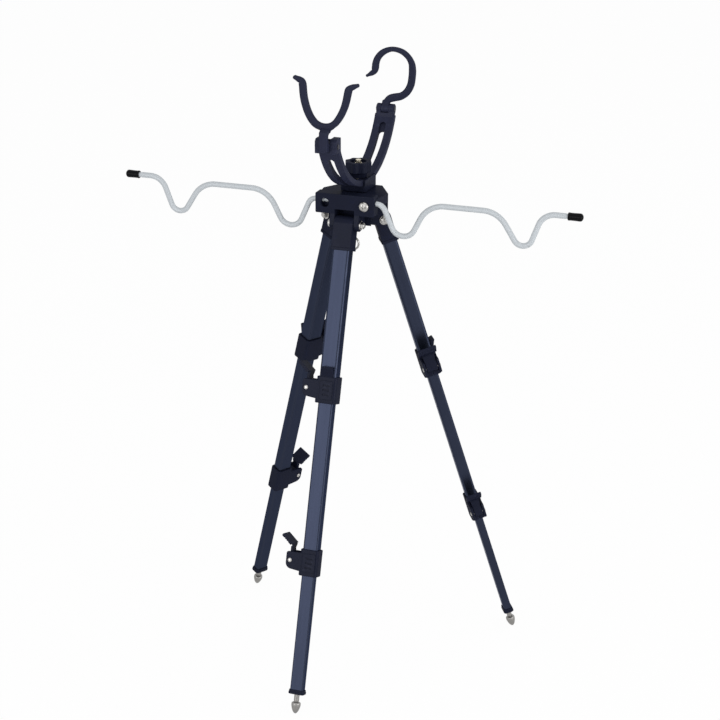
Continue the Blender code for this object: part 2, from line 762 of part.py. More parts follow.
def head_solid():
    """The moulded head: a top plate, a bar across the front and three forked sockets for the leg caps."""
    third = math.sin(math.pi / 3)
    far = Vector((HEAD_FACE * third - EAR_OUTER * 0.5, HEAD_FACE * 0.5 + EAR_OUTER * third))
    near_y = HEAD_FACE * 0.5 - EAR_OUTER * third
    plan = [
        (-BAR_HALF_LENGTH, -HEAD_FACE + 0.001),
        (BAR_HALF_LENGTH, -HEAD_FACE + 0.001),
        (CHEEK_X, near_y),
        (far.x, far.y),
        (-far.x, far.y),
        (-CHEEK_X, near_y),
    ]
    top = moved(plate([plan], HEAD_PLATE), (0, 0, HEAD_TOP - HEAD_PLATE / 2))
    bar_height = BAR_TOP - BAR_BOTTOM
    bar = plate([rounded_rectangle(2 * BAR_HALF_LENGTH, bar_height, 0.0012, 2)], BAR_DEPTH, FACE)
    bar = moved(bar, (0, BAR_Y, (BAR_TOP + BAR_BOTTOM) / 2))
    core_height = HEAD_TOP - HEAD_CORE_BOTTOM - 0.001
    core = plate([circle(SOCKET_BACK * 1.55, 3, turn=math.pi / 6 + math.pi / 3)], core_height)
    core = moved(core, (0, 0, HEAD_CORE_BOTTOM + core_height / 2))

    lug_outline = [(-SOCKET_BACK + 0.006, HEAD_TOP - 0.001), (-HEAD_FACE, HEAD_TOP - 0.001)]
    lug_outline += [(-HEAD_FACE, BAR_BOTTOM)]
    lug_outline += arc((-PIVOT_RADIUS, 0), HEAD_EAR_RADIUS, math.pi, 1.5 * math.pi, 4)
    lug_outline += [(-SOCKET_BACK + 0.006, HEAD_CORE_BOTTOM)]
    lug = plate([lug_outline], 2 * EAR_OUTER, SIDE)

    reach = 0.03
    slot_height = SOCKET_ROOF + reach
    slot = block(
        (2 * SOCKET_HALF, reach, slot_height),
        (0, -SOCKET_BACK - reach / 2, SOCKET_ROOF - slot_height / 2),
    )
    bore = rod(BOLT_RADIUS + SEAT, 2 * EAR_OUTER + 0.004, "X", (0, -PIVOT_RADIUS, 0), sides=12)
    lugs, cuts = [], []
    for turn in (0, 120, 240):
        spin = Matrix.Rotation(math.radians(turn), 4, "Z")
        lugs.append(moved(lug, turn=spin))
        cuts += [moved(slot, turn=spin), moved(bore, turn=spin)]
    front_half = BAR_DEPTH / 2 + 0.002
    front_y = -HEAD_FACE + BAR_DEPTH / 4 - 0.001
    screw_centre = (CLAMP_SCREW_X, front_y, CLAMP_SCREW_HEIGHT)
    hook_centre = (0, WEIGHT_HOOK_Y, HEAD_CORE_BOTTOM)
    cuts += [
        rod(WIRE_RADIUS + RUN, 2 * BAR_HALF_LENGTH + 0.01, "X", (0, BAR_Y, WIRE_HEIGHT), sides=12),
        rod(CLAMP_SCREW_RADIUS + SEAT, front_half, "Y", screw_centre, sides=10),
        rod(CLAMP_HOLE_RADIUS, front_half, "Y", (-CLAMP_SCREW_X, front_y, CLAMP_HOLE_HEIGHT)),
        rod(CENTRE_BOLT_RADIUS + RUN, 0.08, "Z", (0, HOLDER_Y, HEAD_TOP - 0.02), sides=12),
        rod(COUNTERBORE_RADIUS, 0.04, "Z", (0, HOLDER_Y, COUNTERBORE_ROOF - 0.02)),
        rod(HOOK_WIRE_RADIUS + SEAT, 2 * WEIGHT_HOOK_SHANK, "Z", hook_centre, sides=8),
    ]
    return combine(core, joined=[top, bar, *lugs], cut=cuts)


def wire_path():
    """The right-hand wire in X and Z: into the bar, two dips that hold rods, and a straight end."""
    corners = [
        (WIRE_INNER, WIRE_HEIGHT, 0),
        (WIRE_SHOULDER, WIRE_HEIGHT, WIRE_WIDE_BEND),
        (WIRE_FIRST_DIP_START, WIRE_FIRST_DIP, WIRE_BEND),
        (WIRE_FIRST_DIP_END, WIRE_FIRST_DIP, WIRE_BEND),
        (WIRE_RUN_START, WIRE_RISE, WIRE_WIDE_BEND),
        (WIRE_RUN_END, WIRE_RISE, WIRE_BEND),
        (WIRE_SECOND_DIP_START, WIRE_SECOND_DIP, WIRE_BEND),
        (WIRE_SECOND_DIP_END, WIRE_SECOND_DIP, WIRE_CLOSE_BEND),
        (WIRE_TAIL_START, WIRE_END_RISE, WIRE_CLOSE_BEND),
        (WIRE_END, WIRE_END_RISE, 0),
    ]
    return rounded_path(corners, 4)


def wire_solid(side):
    """One wire arm, with its origin on the bar's bore."""
    return wire([(side * x, 0, z - WIRE_HEIGHT) for x, z in wire_path()], WIRE_RADIUS)


def tip_solid(side):
    """The soft cap on a wire's end, with its mouth at x = 0."""
    bore = WIRE_RADIUS + SEAT
    return turned(
        [
            (0, TIP_LENGTH),
            (TIP_RADIUS * 0.6, TIP_LENGTH - 0.0003),
            (TIP_RADIUS * 0.92, TIP_LENGTH - 0.0014),
            (TIP_RADIUS, TIP_LENGTH - 0.003),
            (TIP_RADIUS, 0),
            (bore, 0),
            (bore, TIP_LENGTH - TIP_FLOOR),
            (0, TIP_LENGTH - TIP_FLOOR),
        ],
        "X" if side > 0 else "-X",
        sides=12,
    )


def clamp_screw_solid():
    """The screw that pinches the right-hand wire, its head against the bar's front at y = 0."""
    length = HEAD_FACE + BAR_Y - WIRE_RADIUS - SEAT
    return turned(
        [
            (0, SEAT + 0.0032),
            (CLAMP_HEAD_RADIUS * 0.6, SEAT + 0.003),
            (CLAMP_HEAD_RADIUS * 0.9, SEAT + 0.0021),
            (CLAMP_HEAD_RADIUS, SEAT + 0.0009),
            (CLAMP_HEAD_RADIUS, SEAT),
            (CLAMP_SCREW_RADIUS, SEAT),
            (CLAMP_SCREW_RADIUS, -length),
            (0, -length),
        ],
        "-Y",
        sides=12,
    )


def weight_hook_solid():
    """A small open hook under the head for a steadying weight, with its thread at the origin."""
    centre = -WEIGHT_HOOK_DROP
    path = [(0, 0, WEIGHT_HOOK_SHANK - 0.0005), (0, 0, centre + WEIGHT_HOOK_RADIUS + 0.0012)]
    for point in arc((0, centre), WEIGHT_HOOK_RADIUS, 0.42 * math.pi, -1.1 * math.pi, 10):
        path.append((point[0], 0, point[1]))
    return wire(path, HOOK_WIRE_RADIUS)


# Rod holder


def sector(inner, outer, half_angle, steps):
    """An arc-shaped outline in Y and Z, hanging from the arc's centre at (0, 0)."""
    start, end = -math.pi / 2 - half_angle, -math.pi / 2 + half_angle
    return arc((0, 0), outer, start, end, steps) + arc((0, 0), inner, end, start, steps)


def slot_outline(start, end, inner, outer, steps):
    """A cutter outline along the strap between two angles from its lowest point, front ones negative."""
    down = -math.pi / 2
    outer_arc = arc((0, 0), outer, down + start, down + end, steps)
    return outer_arc + arc((0, 0), inner, down + end, down + start, steps)


def saddle_solid():
    """The turning seat under the strap, at the arc centre's place. Two cheeks keep the strap straight."""
    bottom = HEAD_TOP + RUN - ARC_CENTRE
    height = SADDLE_TOP - HEAD_TOP - RUN
    body = block((SADDLE_WIDTH, SADDLE_LENGTH, height), (0, 0, bottom + height / 2))
    path = sector(STRAP_INNER - 0.01, STRAP_OUTER + RUN, math.radians(20), 16)
    channel = plate([path], STRAP_WIDTH + 2 * RUN, SIDE)
    bore = rod(CENTRE_BOLT_RADIUS + RUN, 0.04, centre=(0, 0, bottom))
    return combine(body, cut=[channel, bore])


def strap_solid():
    """The curved strap with its long slot, a block clevis in front and a lug clevis at the rear."""
    centre = Vector((0, HOLDER_Y, ARC_CENTRE))
    strap = plate([sector(STRAP_INNER, STRAP_OUTER, ARC_HALF, 20)], STRAP_WIDTH, SIDE)
    front = CLEVIS_FRONT - centre.y
    bottom = CLEVIS_BOTTOM - centre.z
    clevis_outline = [
        (front, bottom),
        (front + CLEVIS_DEPTH, bottom),
        (front + CLEVIS_DEPTH, bottom + CLEVIS_HEIGHT),
        (front + CLEVIS_CHAMFER, bottom + CLEVIS_HEIGHT),
        (front, bottom + CLEVIS_HEIGHT - CLEVIS_CHAMFER),
    ]
    clevis = plate([clevis_outline], CLEVIS_WIDTH, SIDE)
    hinge = HOOK_PIN - centre
    end = REAR_END - centre
    tangent = Vector((math.cos(ARC_HALF), math.sin(ARC_HALF)))
    square = Vector((-tangent.y, tangent.x))
    root = Vector((end.y, end.z)) - tangent * 0.004
    lug_outline = arc((hinge.y, hinge.z), REAR_LUG_RADIUS, math.radians(-27), math.radians(207), 8)
    lug_outline += [tuple(root + square * STRAP_THICKNESS / 2), tuple(root - square * STRAP_THICKNESS / 2)]
    lug = plate([lug_outline], REAR_LUG_WIDTH, SIDE)

    gap = KNUCKLE_WIDTH + 2 * RUN
    cradle = CRADLE_PIN - centre
    clear = KNUCKLE_RADIUS + RUN
    slot = slot_outline(-SLOT_FRONT, SLOT_REAR, STRAP_INNER - 0.004, STRAP_OUTER + 0.004, 10)
    front_pocket = slot_outline(-SLOT_FRONT - POCKET_LENGTH, 0, STRAP_INNER - 0.003, ARC_RADIUS, 6)
    rear_pocket = slot_outline(0, SLOT_REAR + POCKET_LENGTH, STRAP_INNER - 0.003, ARC_RADIUS, 6)
    cuts = [
        plate([slot], SLOT_WIDTH, SIDE),
        plate([front_pocket], SLOT_WIDTH, SIDE),
        plate([rear_pocket], SLOT_WIDTH, SIDE),
        block((gap, 2 * clear, 0.04), (0, cradle.y, cradle.z + 0.02 - clear)),
        block((gap, clear + 0.002, 0.04), (0, cradle.y - clear / 2 - 0.001, cradle.z)),
        block((gap, 0.02, 0.02), (0, cradle.y + 0.01, cradle.z + clear + RUN + 0.01)),
        rod(clear, gap, "X", (0, hinge.y, hinge.z), sides=16),
        block((gap, 2 * REAR_LUG_RADIUS + 0.002, 0.02), (0, hinge.y, hinge.z + 0.01 - REAR_LUG_OPEN)),
        rod(HINGE_PIN_RADIUS + SEAT, STRAP_WIDTH + 0.004, "X", (0, cradle.y, cradle.z), sides=10),
        rod(HINGE_PIN_RADIUS + SEAT, STRAP_WIDTH + 0.004, "X", (0, hinge.y, hinge.z), sides=10),
    ]
    return combine(strap, joined=[clevis, lug], cut=cuts)


def knob_solid():
    """The lobed clamp knob. Its origin is on the turning axis at the level of the leg pivots."""
    edge = STRAP_INNER - math.sqrt(STRAP_INNER**2 - KNOB_HUB_RADIUS**2)
    bottom = ARC_BOTTOM + STRAP_THICKNESS / 2 + edge + RUN
    count = KNOB_LOBES * 4
    rim = []
    for k in range(count):
        turn = 2 * math.pi * k / count
        radius = KNOB_RADIUS - KNOB_LOBE + KNOB_LOBE * math.cos(KNOB_LOBES * turn)
        rim.append((radius * math.cos(turn), radius * math.sin(turn)))
    bore = CENTRE_BOLT_RADIUS + SEAT
    grip = plate([rim, circle(KNOB_RECESS_RADIUS, 20)], KNOB_GRIP)
    grip = moved(grip, (0, 0, KNOB_TOP - KNOB_GRIP / 2))
    under = KNOB_TOP - KNOB_GRIP
    floor = KNOB_TOP - KNOB_RECESS
    hub = turned(
        [
            (KNOB_RECESS_RADIUS + 0.001, floor),
            (KNOB_RECESS_RADIUS + 0.001, under),
            (KNOB_RADIUS - 0.0028, under - RUN),
            (KNOB_HUB_RADIUS, under - 0.003),
            (KNOB_HUB_RADIUS, bottom),
            (bore, bottom),
            (bore, floor),
        ],
        sides=20,
    )
    return combine(grip, joined=[hub])


def centre_bolt_solid():
    """The bolt in the knob. It passes the strap's slot, the saddle and the head, down to its nut."""
    seat = KNOB_TOP - KNOB_RECESS + SEAT
    nut_top = COUNTERBORE_ROOF - SEAT
    nut_bottom = nut_top - CENTRE_NUT_HEIGHT
    shank = rod(
        CENTRE_BOLT_RADIUS,
        seat + BITE - nut_bottom + 0.002,
        centre=(0, 0, (seat + BITE + nut_bottom - 0.002) / 2),
        sides=12,
    )
    head = rod(
        CENTRE_BOLT_HEAD_RADIUS,
        CENTRE_BOLT_HEAD_HEIGHT,
        centre=(0, 0, seat + CENTRE_BOLT_HEAD_HEIGHT / 2),
        sides=6,
    )
    nut = rod(CENTRE_NUT_RADIUS, CENTRE_NUT_HEIGHT, centre=(0, 0, nut_top - CENTRE_NUT_HEIGHT / 2), sides=6)
    return combine(shank, joined=[head, nut])


def cradle_solid():
    """The U-shaped front rest. Its origin is on its hinge pin."""
    inside = CRADLE_BOTTOM
    sides = []
    for arm in (CRADLE_LEFT_ARM, CRADLE_RIGHT_ARM):
        corners = [
            (0, inside, 0),
            (CRADLE_BOWL, inside + 0.001, 0.012),
            (CRADLE_WAIST, inside + CRADLE_WAIST_UP, 0.025),
            (CRADLE_MOUTH, inside + arm, 0.003),
            (CRADLE_MOUTH + CRADLE_LIP_OUT, inside + arm + CRADLE_LIP_UP, 0),
        ]
        sides.append(rounded_path(corners, 4))
    path = [(-x, z) for x, z in sides[0][:0:-1]] + sides[1]
    fork = plate([ribbon(path, CRADLE_BAR, (LIP_TAPER, LIP_TAPER))], CRADLE_THICKNESS, FACE)
    fork = moved(fork, (0, -CRADLE_PLANE, 0))
    front = -CRADLE_STEM_FRONT
    rear = front + CRADLE_STEM_DEPTH
    plane_rear = -CRADLE_PLANE + CRADLE_THICKNESS / 2 - 0.0006
    plane_front = -CRADLE_PLANE - CRADLE_THICKNESS / 2 + 0.0006
    side_outline = [
        (rear, KNUCKLE_RADIUS - 0.0006),
        (rear, inside - 0.0062),
        (plane_rear, inside - 0.0038),
        (plane_rear, inside - 0.001),
        (plane_front, inside - 0.001),
        (front, inside - 0.0032),
        (front, -KNUCKLE_RADIUS + 0.0012),
        (front + 0.0012, -KNUCKLE_RADIUS),
        (-0.001, -KNUCKLE_RADIUS + 0.0006),
        (-0.001, KNUCKLE_RADIUS - 0.0006),
    ]
    stem = plate([side_outline], CRADLE_STEM_WIDTH, SIDE)
    knuckle = rod(KNUCKLE_RADIUS, KNUCKLE_WIDTH, "X")
    bore = rod(HINGE_PIN_RADIUS + RUN, KNUCKLE_WIDTH + 0.002, "X", sides=10)
    return combine(fork, joined=[stem, knuckle], cut=[bore])


def hook_solid():
    """The open hook that holds the rod's butt down. Its origin is on its hinge pin."""
    corners = [
        (HOOK_LEFT - HOOK_LIP_OUT, HOOK_MOUTH - HOOK_LIP_DOWN, 0),
        (HOOK_LEFT, HOOK_MOUTH, 0.003),
        (HOOK_LEFT, HOOK_TOP, 0.018),
        (HOOK_RIGHT, HOOK_TOP, 0.0198),
        (HOOK_RIGHT, HOOK_BOTTOM + 0.0004, 0.020),
        (0.0008, HOOK_BOTTOM - 0.0018, 0.0034),
        (0, 0.001, 0),
    ]
    bar = plate([ribbon(rounded_path(corners, 5), HOOK_BAR, (LIP_TAPER, 1.0))], HOOK_THICKNESS, FACE)
    half = KNUCKLE_WIDTH / 2
    root = [(-half, 0), (half, 0), (half, 0.0045), (0.0036, 0.0085), (-0.0026, 0.0085), (-half, 0.005)]
    root = plate([root], HOOK_THICKNESS + 0.0004, FACE)
    knuckle = rod(KNUCKLE_RADIUS, KNUCKLE_WIDTH, "X")
    bore = rod(HINGE_PIN_RADIUS + RUN, KNUCKLE_WIDTH + 0.002, "X", sides=10)
    return combine(bar, joined=[root, knuckle], cut=[bore])


# Assembly


def build_leg(name, turn, top, shapes, finish):
    """One leg. Its anchor is on the pivot, with -Z down the leg and -Y outward."""
    direction = math.radians(turn)
    pivot = Vector((PIVOT_RADIUS * math.sin(direction), -PIVOT_RADIUS * math.cos(direction), 0))
    fold = anchor(f"{name}_leg_fold", top, pivot, (-LEG_SPREAD, 0, direction))
    fold.rotation_mode = "XYZ"
    spin = anchor(f"{name}_bolt_line", top, pivot, (0, 0, direction))
    place(f"{name}_pivot_bolt", shapes["bolt"], finish["steel"], spin)
    place(f"{name}_leg_cap", shapes["cap"], finish["black"], fold)
    place(f"{name}_upper_tube", shapes["tube_0"], finish["blue"], fold)
    ends = (UPPER_LOCK_END, LOWER_LOCK_END)
    for stage, stage_name, tube_name in ((0, "upper", "middle"), (1, "lower", "lower")):
        lock_top = ends[stage] - LOCK_HEIGHT
        pin_x = lock_sizes(stage)[2]
        place(f"{name}_{stage_name}_lock", shapes[f"lock_{stage}"], finish["black"], fold, (0, 0, -lock_top))
        pin_place = (pin_x, 0, -lock_top - LOCK_PIN_DOWN)
        hinge = anchor(f"{name}_{stage_name}_lever_hinge", fold, pin_place)
        place(f"{name}_{stage_name}_lever", shapes[f"lever_{stage}"], finish["black"], hinge)
        place(f"{name}_{stage_name}_lever_pin", shapes[f"lock_pin_{stage}"], finish["steel"], hinge)
        place(f"{name}_{tube_name}_tube", shapes[f"tube_{stage + 1}"], finish["blue"], fold)
        bush_top = ends[stage] - TUBE_OVERLAP - LOCK_HEIGHT + LOCK_STOP
        bush = shapes[f"bush_{stage + 1}"]
        place(f"{name}_{tube_name}_tube_bush", bush, finish["grey"], fold, (0, 0, -bush_top + SEAT))
    place(f"{name}_foot", shapes["foot"], finish["black"], fold, (0, 0, -FOOT_TOP))
    place(f"{name}_spike", shapes["spike"], finish["steel"], fold, (0, 0, -FOOT_TOP - FOOT_HEIGHT))


def leg_shapes():
    middle_top = UPPER_LOCK_END - TUBE_OVERLAP - LOCK_HEIGHT + LOCK_STOP
    lower_top = LOWER_LOCK_END - TUBE_OVERLAP - LOCK_HEIGHT + LOCK_STOP
    half_depths = [lock_sizes(stage)[1] - 0.0002 for stage in (0, 1)]
    widths = [lock_sizes(stage)[3] for stage in (0, 1)]
    pin_sizes = (LOCK_PIN_RADIUS, LOCK_PIN_HEAD_RADIUS, LOCK_PIN_HEAD_HEIGHT, "-Y")
    return {
        "bolt": bolt_solid(),
        "cap": cap_solid(),
        "tube_0": tube_solid(0, CAP_SOCKET_TOP + SEAT, UPPER_LOCK_END - LOCK_STOP),
        "tube_1": tube_solid(1, middle_top, LOWER_LOCK_END - LOCK_STOP),
        "tube_2": tube_solid(2, lower_top, FOOT_TOP + FOOT_HEIGHT - FOOT_FLOOR - SEAT),
        "bush_1": bush_solid(1),
        "bush_2": bush_solid(2),
        "lock_0": lock_solid(0),
        "lock_1": lock_solid(1),
        "lever_0": lever_solid(widths[0]),
        "lever_1": lever_solid(widths[1]),
        "lock_pin_0": pin_solid(half_depths[0], *pin_sizes),
        "lock_pin_1": pin_solid(half_depths[1], *pin_sizes),
        "foot": foot_solid(),
        "spike": spike_solid(),
    }


def build_head(top, finish):
    place("head_block", head_solid(), finish["black"], top)
    for name, side in (("left", -1), ("right", 1)):
        swing = anchor(f"{name}_wire_swing", top, (0, BAR_Y, WIRE_HEIGHT))
        place(f"{name}_wire_arm", wire_solid(side), finish["white"], swing, smooth=True)
        mouth = side * (WIRE_END - (TIP_LENGTH - TIP_FLOOR) + SEAT)
        tip_place = (mouth, 0, WIRE_END_RISE - WIRE_HEIGHT)
        place(f"{name}_wire_tip", tip_solid(side), finish["soft"], swing, tip_place)
    screw_place = (CLAMP_SCREW_X, -HEAD_FACE, CLAMP_SCREW_HEIGHT)
    place("clamp_screw", clamp_screw_solid(), finish["steel"], top, screw_place)
    hook_place = (0, WEIGHT_HOOK_Y, HEAD_CORE_BOTTOM)
    place("weight_hook", weight_hook_solid(), finish["steel"], top, hook_place, smooth=True)


def build_holder(top, finish):
    swivel = anchor("holder_swivel", top, (0, HOLDER_Y, 0))
    rock = anchor("rocker_axis", swivel, (0, 0, ARC_CENTRE))
    place("saddle", saddle_solid(), finish["black"], swivel, (0, 0, ARC_CENTRE))
    place("clamp_knob", knob_solid(), finish["black"], swivel)
    place("clamp_bolt", centre_bolt_solid(), finish["brass"], swivel)
    place("rocker_strap", strap_solid(), finish["black"], rock)
    centre = Vector((0, HOLDER_Y, ARC_CENTRE))
    for name, hinge_place, solid, width in (
        ("cradle", CRADLE_PIN, cradle_solid(), CLEVIS_WIDTH),
        ("hook", HOOK_PIN, hook_solid(), REAR_LUG_WIDTH),
    ):
        hinge = anchor(f"{name}_hinge", rock, hinge_place - centre)
        place(f"rod_{name}", solid, finish["black"], hinge)
        pin = pin_solid(width / 2, HINGE_PIN_RADIUS, HINGE_PIN_HEAD, 0.0008, "X")
        place(f"{name}_pin", pin, finish["steel"], hinge)


def stand_on_origin(top):
    """Moves the whole tripod so that the middle of its underside is at the origin."""
    bpy.context.view_layer.update()
    graph = bpy.context.evaluated_depsgraph_get()
    low, high = Vector((1e9,) * 3), Vector((-1e9,) * 3)
    for item in parts.objects:
        if item.type != "MESH":
            continue
        seen = item.evaluated_get(graph)
        for vertex in seen.data.vertices:
            point = seen.matrix_world @ vertex.co
            low = Vector(map(min, low, point))
            high = Vector(map(max, high, point))
    middle = (low + high) / 2
    top.location -= Vector((middle.x, middle.y, low.z))
    bpy.context.view_layer.update()


def main():
    global parts, cutters
    clear_scene()
    parts = new_collection("rod_tripod")
    cutters = new_collection("cutters")
    cutters.hide_render = True
    finish = {
        "black": material("black_plastic", (0.016, 0.018, 0.028), 0.45),
        "blue": material("blue_anodised", (0.085, 0.115, 0.19), 0.32, 0.85),
        "white": material("white_wire", (0.62, 0.66, 0.68), 0.35, 0.2),
        "steel": material("nickel_steel", (0.55, 0.55, 0.54), 0.25, 1.0),
        "brass": material("brass", (0.62, 0.52, 0.32), 0.3, 1.0),
        "soft": material("soft_cap", (0.01, 0.01, 0.012), 0.3),
        "grey": material("grey_bush", (0.2, 0.2, 0.21), 0.6),
    }
    top = anchor("rod_tripod_head", None, (0, 0, LEG_LENGTH * math.cos(LEG_SPREAD)))
    build_head(top, finish)
    build_holder(top, finish)
    shapes = leg_shapes()
    for name, turn in (("front", 0), ("right", 120), ("left", 240)):
        build_leg(name, turn, top, shapes, finish)
    stand_on_origin(top)


if __name__ == "__main__":
    main()
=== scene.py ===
"""Dressed model of a folding rod tripod: telescopic legs, two bent wire arms and a rocking rod holder.

Everything is in metres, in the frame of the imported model. The front leg points to -Y.
"""

import json
import math
from functools import cached_property

import bmesh
import bpy
from bpy.props import FloatProperty, FloatVectorProperty, IntProperty, PointerProperty
from mathutils import Matrix, Vector

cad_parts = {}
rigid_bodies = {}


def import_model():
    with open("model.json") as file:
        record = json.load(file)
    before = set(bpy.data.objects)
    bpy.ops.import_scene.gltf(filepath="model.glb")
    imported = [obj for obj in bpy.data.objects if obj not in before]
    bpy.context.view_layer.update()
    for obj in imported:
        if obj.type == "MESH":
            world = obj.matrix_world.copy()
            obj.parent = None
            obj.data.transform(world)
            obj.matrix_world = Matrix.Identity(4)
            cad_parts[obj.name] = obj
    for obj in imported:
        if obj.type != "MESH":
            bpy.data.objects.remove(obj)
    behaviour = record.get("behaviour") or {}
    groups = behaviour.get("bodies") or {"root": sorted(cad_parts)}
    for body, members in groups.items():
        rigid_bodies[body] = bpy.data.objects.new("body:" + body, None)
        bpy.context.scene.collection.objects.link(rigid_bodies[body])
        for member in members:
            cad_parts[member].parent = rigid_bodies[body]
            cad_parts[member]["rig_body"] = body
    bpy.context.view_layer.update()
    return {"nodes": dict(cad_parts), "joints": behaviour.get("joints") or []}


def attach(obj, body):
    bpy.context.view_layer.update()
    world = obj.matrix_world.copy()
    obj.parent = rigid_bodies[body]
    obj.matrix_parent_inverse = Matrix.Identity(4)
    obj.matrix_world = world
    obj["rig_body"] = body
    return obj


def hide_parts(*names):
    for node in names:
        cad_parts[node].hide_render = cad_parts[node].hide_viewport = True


bl_info = {
    "name": "Folding Rod Tripod",
    "version": (1, 0, 0),
    "blender": (4, 5, 0),
    "location": "View3D > Sidebar > Rod Tripod",
    "description": "Dresses the packed frame of a folding rod tripod, piece by piece",
    "category": "Add Mesh",
}

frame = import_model()
JOINTS = {joint["name"]: joint for joint in frame["joints"]}
LEGS = ("front", "right", "left")
STAGES = ("upper", "middle", "lower")
LOCKS = ("upper", "lower")

# Sizes in metres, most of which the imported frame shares
SEAT = 0.0002
RUN = 0.0003
TUBES = ((0.0180, 0.0146, 0.0026), (0.0160, 0.0114, 0.0021), (0.0140, 0.0082, 0.0016))
TUBE_WALL = 0.0007
CAP_HALF_WIDTH = 0.0101
CAP_HALF_DEPTH = 0.0084
CAP_LENGTH = 0.0265
CAP_SOCKET_TOP = 0.0071
LOCK_ENDS = (0.1805, 0.3560)
LOCK_HEIGHT = 0.027
LOCK_STOP = 0.0055
LOCK_WALL = 0.0019
LOCK_EAR = 0.0029
LOCK_PIN_OUT = 0.0120
LOCK_PIN_DOWN = 0.0130
LOCK_PIN_RADIUS = 0.0016
LOCK_PIN_HEAD = 0.0021
LOCK_PIN_SUNK = 0.0005
TUBE_OVERLAP = 0.028
LEG_LENGTH = 0.4972
FOOT_TOP = 0.4725
FOOT_HEIGHT = 0.0046
FOOT_FLOOR = 0.0016
LEG_SPREAD = math.radians(17.44)
PIVOT_RADIUS = 0.027
BOLT_RADIUS = 0.0025
HEAD_FACE = 0.031
HEAD_TOP = 0.0275
HEAD_CORE_BOTTOM = -0.004
SOCKET_HALF = CAP_HALF_WIDTH + RUN
EAR_OUTER = SOCKET_HALF + 0.0051
BAR_HALF = 0.031
BAR_DEPTH = 0.0125
BAR_Y = -HEAD_FACE + BAR_DEPTH / 2
BAR_TOP = 0.031
BAR_BOTTOM = 0.0104
CLAMP_SCREW_X = 0.0208
CLAMP_SCREW_Z = 0.0208
WEIGHT_HOOK_Y = -0.007
NUT_SEAT = 0.012
WIRE_RADIUS = 0.0025
WIRE_HEIGHT = 0.0233
WIRE_END = 0.239
WIRE_END_RISE = 0.0297
TIP_RADIUS = 0.004
TIP_LENGTH = 0.015
TIP_END = 0.003
HOLDER_Y = 0.010
ARC_RADIUS = 0.0915
ARC_BOTTOM = 0.0359
ARC_CENTRE = ARC_BOTTOM + ARC_RADIUS
ARC_HALF = math.radians(63)
STRAP_WIDTH = 0.0212
STRAP_THICKNESS = 0.006
STRAP_INNER = ARC_RADIUS - STRAP_THICKNESS / 2
STRAP_OUTER = ARC_RADIUS + STRAP_THICKNESS / 2
SLOT_WIDTH = 0.0068
SADDLE_TOP = 0.0405
CLEVIS_WIDTH = 0.0222
LUG_WIDTH = 0.0186
KNUCKLE_RADIUS = 0.0046
KNUCKLE_WIDTH = 0.008
HINGE_PIN_RADIUS = 0.0016
HINGE_PIN_HEAD = 0.0025
CENTRE_BOLT_RADIUS = 0.0028
KNOB_TOP = 0.056
KNOB_RECESS = 0.0035
KNOB_RECESS_RADIUS = 0.0082

# How close points merge, how far a cutter reaches past a surface, and where a pan head's dome has its points
WELD = 1e-6
SPARE = 0.001
PAN_HEAD = (0.35, 0.7, 1.0, 1.25, 1.45)


def joint_point(name):
    return Vector(JOINTS[name]["pos_m"])


def joint_axis(name):
    return Vector(JOINTS[name]["axis"]).normalized()


def at(x, y, z):
    return Matrix.Translation((x, y, z))


def axes(across, up, origin):
    """A frame whose X runs across and whose Z runs up."""
    made = Matrix((across, up.cross(across), up)).transposed().to_4x4()
    made.translation = origin
    return made


def leg_axes(leg):
    """A leg's own frame, with its origin on the pivot and -Z down the leg."""
    fold = f"{leg}_leg_fold"
    return axes(joint_axis(fold), joint_axis(f"{leg}_middle_slide"), joint_point(fold))


def bolt_axes(leg):
    fold = f"{leg}_leg_fold"
    return axes(joint_axis(fold), Vector((0, 0, 1)), joint_point(fold))


HEAD = Matrix.Translation(joint_point("holder_swivel") - Vector((0, HOLDER_Y, 0)))


# Outlines


def arc(centre, radius, start, end, steps):
    turns = [start + (end - start) * k / steps for k in range(steps + 1)]
    return [(centre[0] + radius * math.cos(turn), centre[1] + radius * math.sin(turn)) for turn in turns]


def circle(radius, count, turn=0.0):
    return arc((0, 0), radius, turn, turn + 2 * math.pi, count)[:-1]


def dome(radius, base, height, angles):
    """Profile points over a domed end, at these angles from its axis."""
    return [(radius * math.sin(angle), base + height * math.cos(angle)) for angle in angles]


def thread(first, second, top, pitch, turns):
    """Profile points for thread rings from the top down: each turn has one point on either radius."""
    points = []
    for k in range(turns):
        points += [(first, top - pitch * k), (second, top - pitch * (k + 0.5))]
    return points


def rounded_rectangle(width, height, radius, steps=6):
    a, b = width / 2 - radius, height / 2 - radius
    points = []
    for x, y, turn in ((a, b, 0.0), (-a, b, 0.5), (-a, -b, 1.0), (a, -b, 1.5)):
        points += arc((x, y), radius, turn * math.pi, (turn + 0.5) * math.pi, steps)
    return points


def rounded_path(corners, steps=10):
    """Points along straight runs with rounded corners. Each corner is (x, y, radius)."""
    points = [Vector(corners[0][:2])]
    for before, here, after in zip(corners, corners[1:], corners[2:]):
        corner = Vector(here[:2])
        into = (corner - Vector(before[:2])).normalized()
        out = (Vector(after[:2]) - corner).normalized()
        if here[2] <= 0:
            points.append(corner)
            continue
        turn = math.acos(max(-1.0, min(1.0, into.dot(out))))
        side = math.copysign(1.0, into.x * out.y - into.y * out.x)
        start = corner - into * here[2] * math.tan(turn / 2)
        centre = start + Vector((-into.y, into.x)) * here[2] * side
        for k in range(steps + 1):
            points.append(centre + Matrix.Rotation(side * turn * k / steps, 2) @ (start - centre))
    points.append(Vector(corners[-1][:2]))
    return [(p.x, p.y) for p in points]


# Meshes

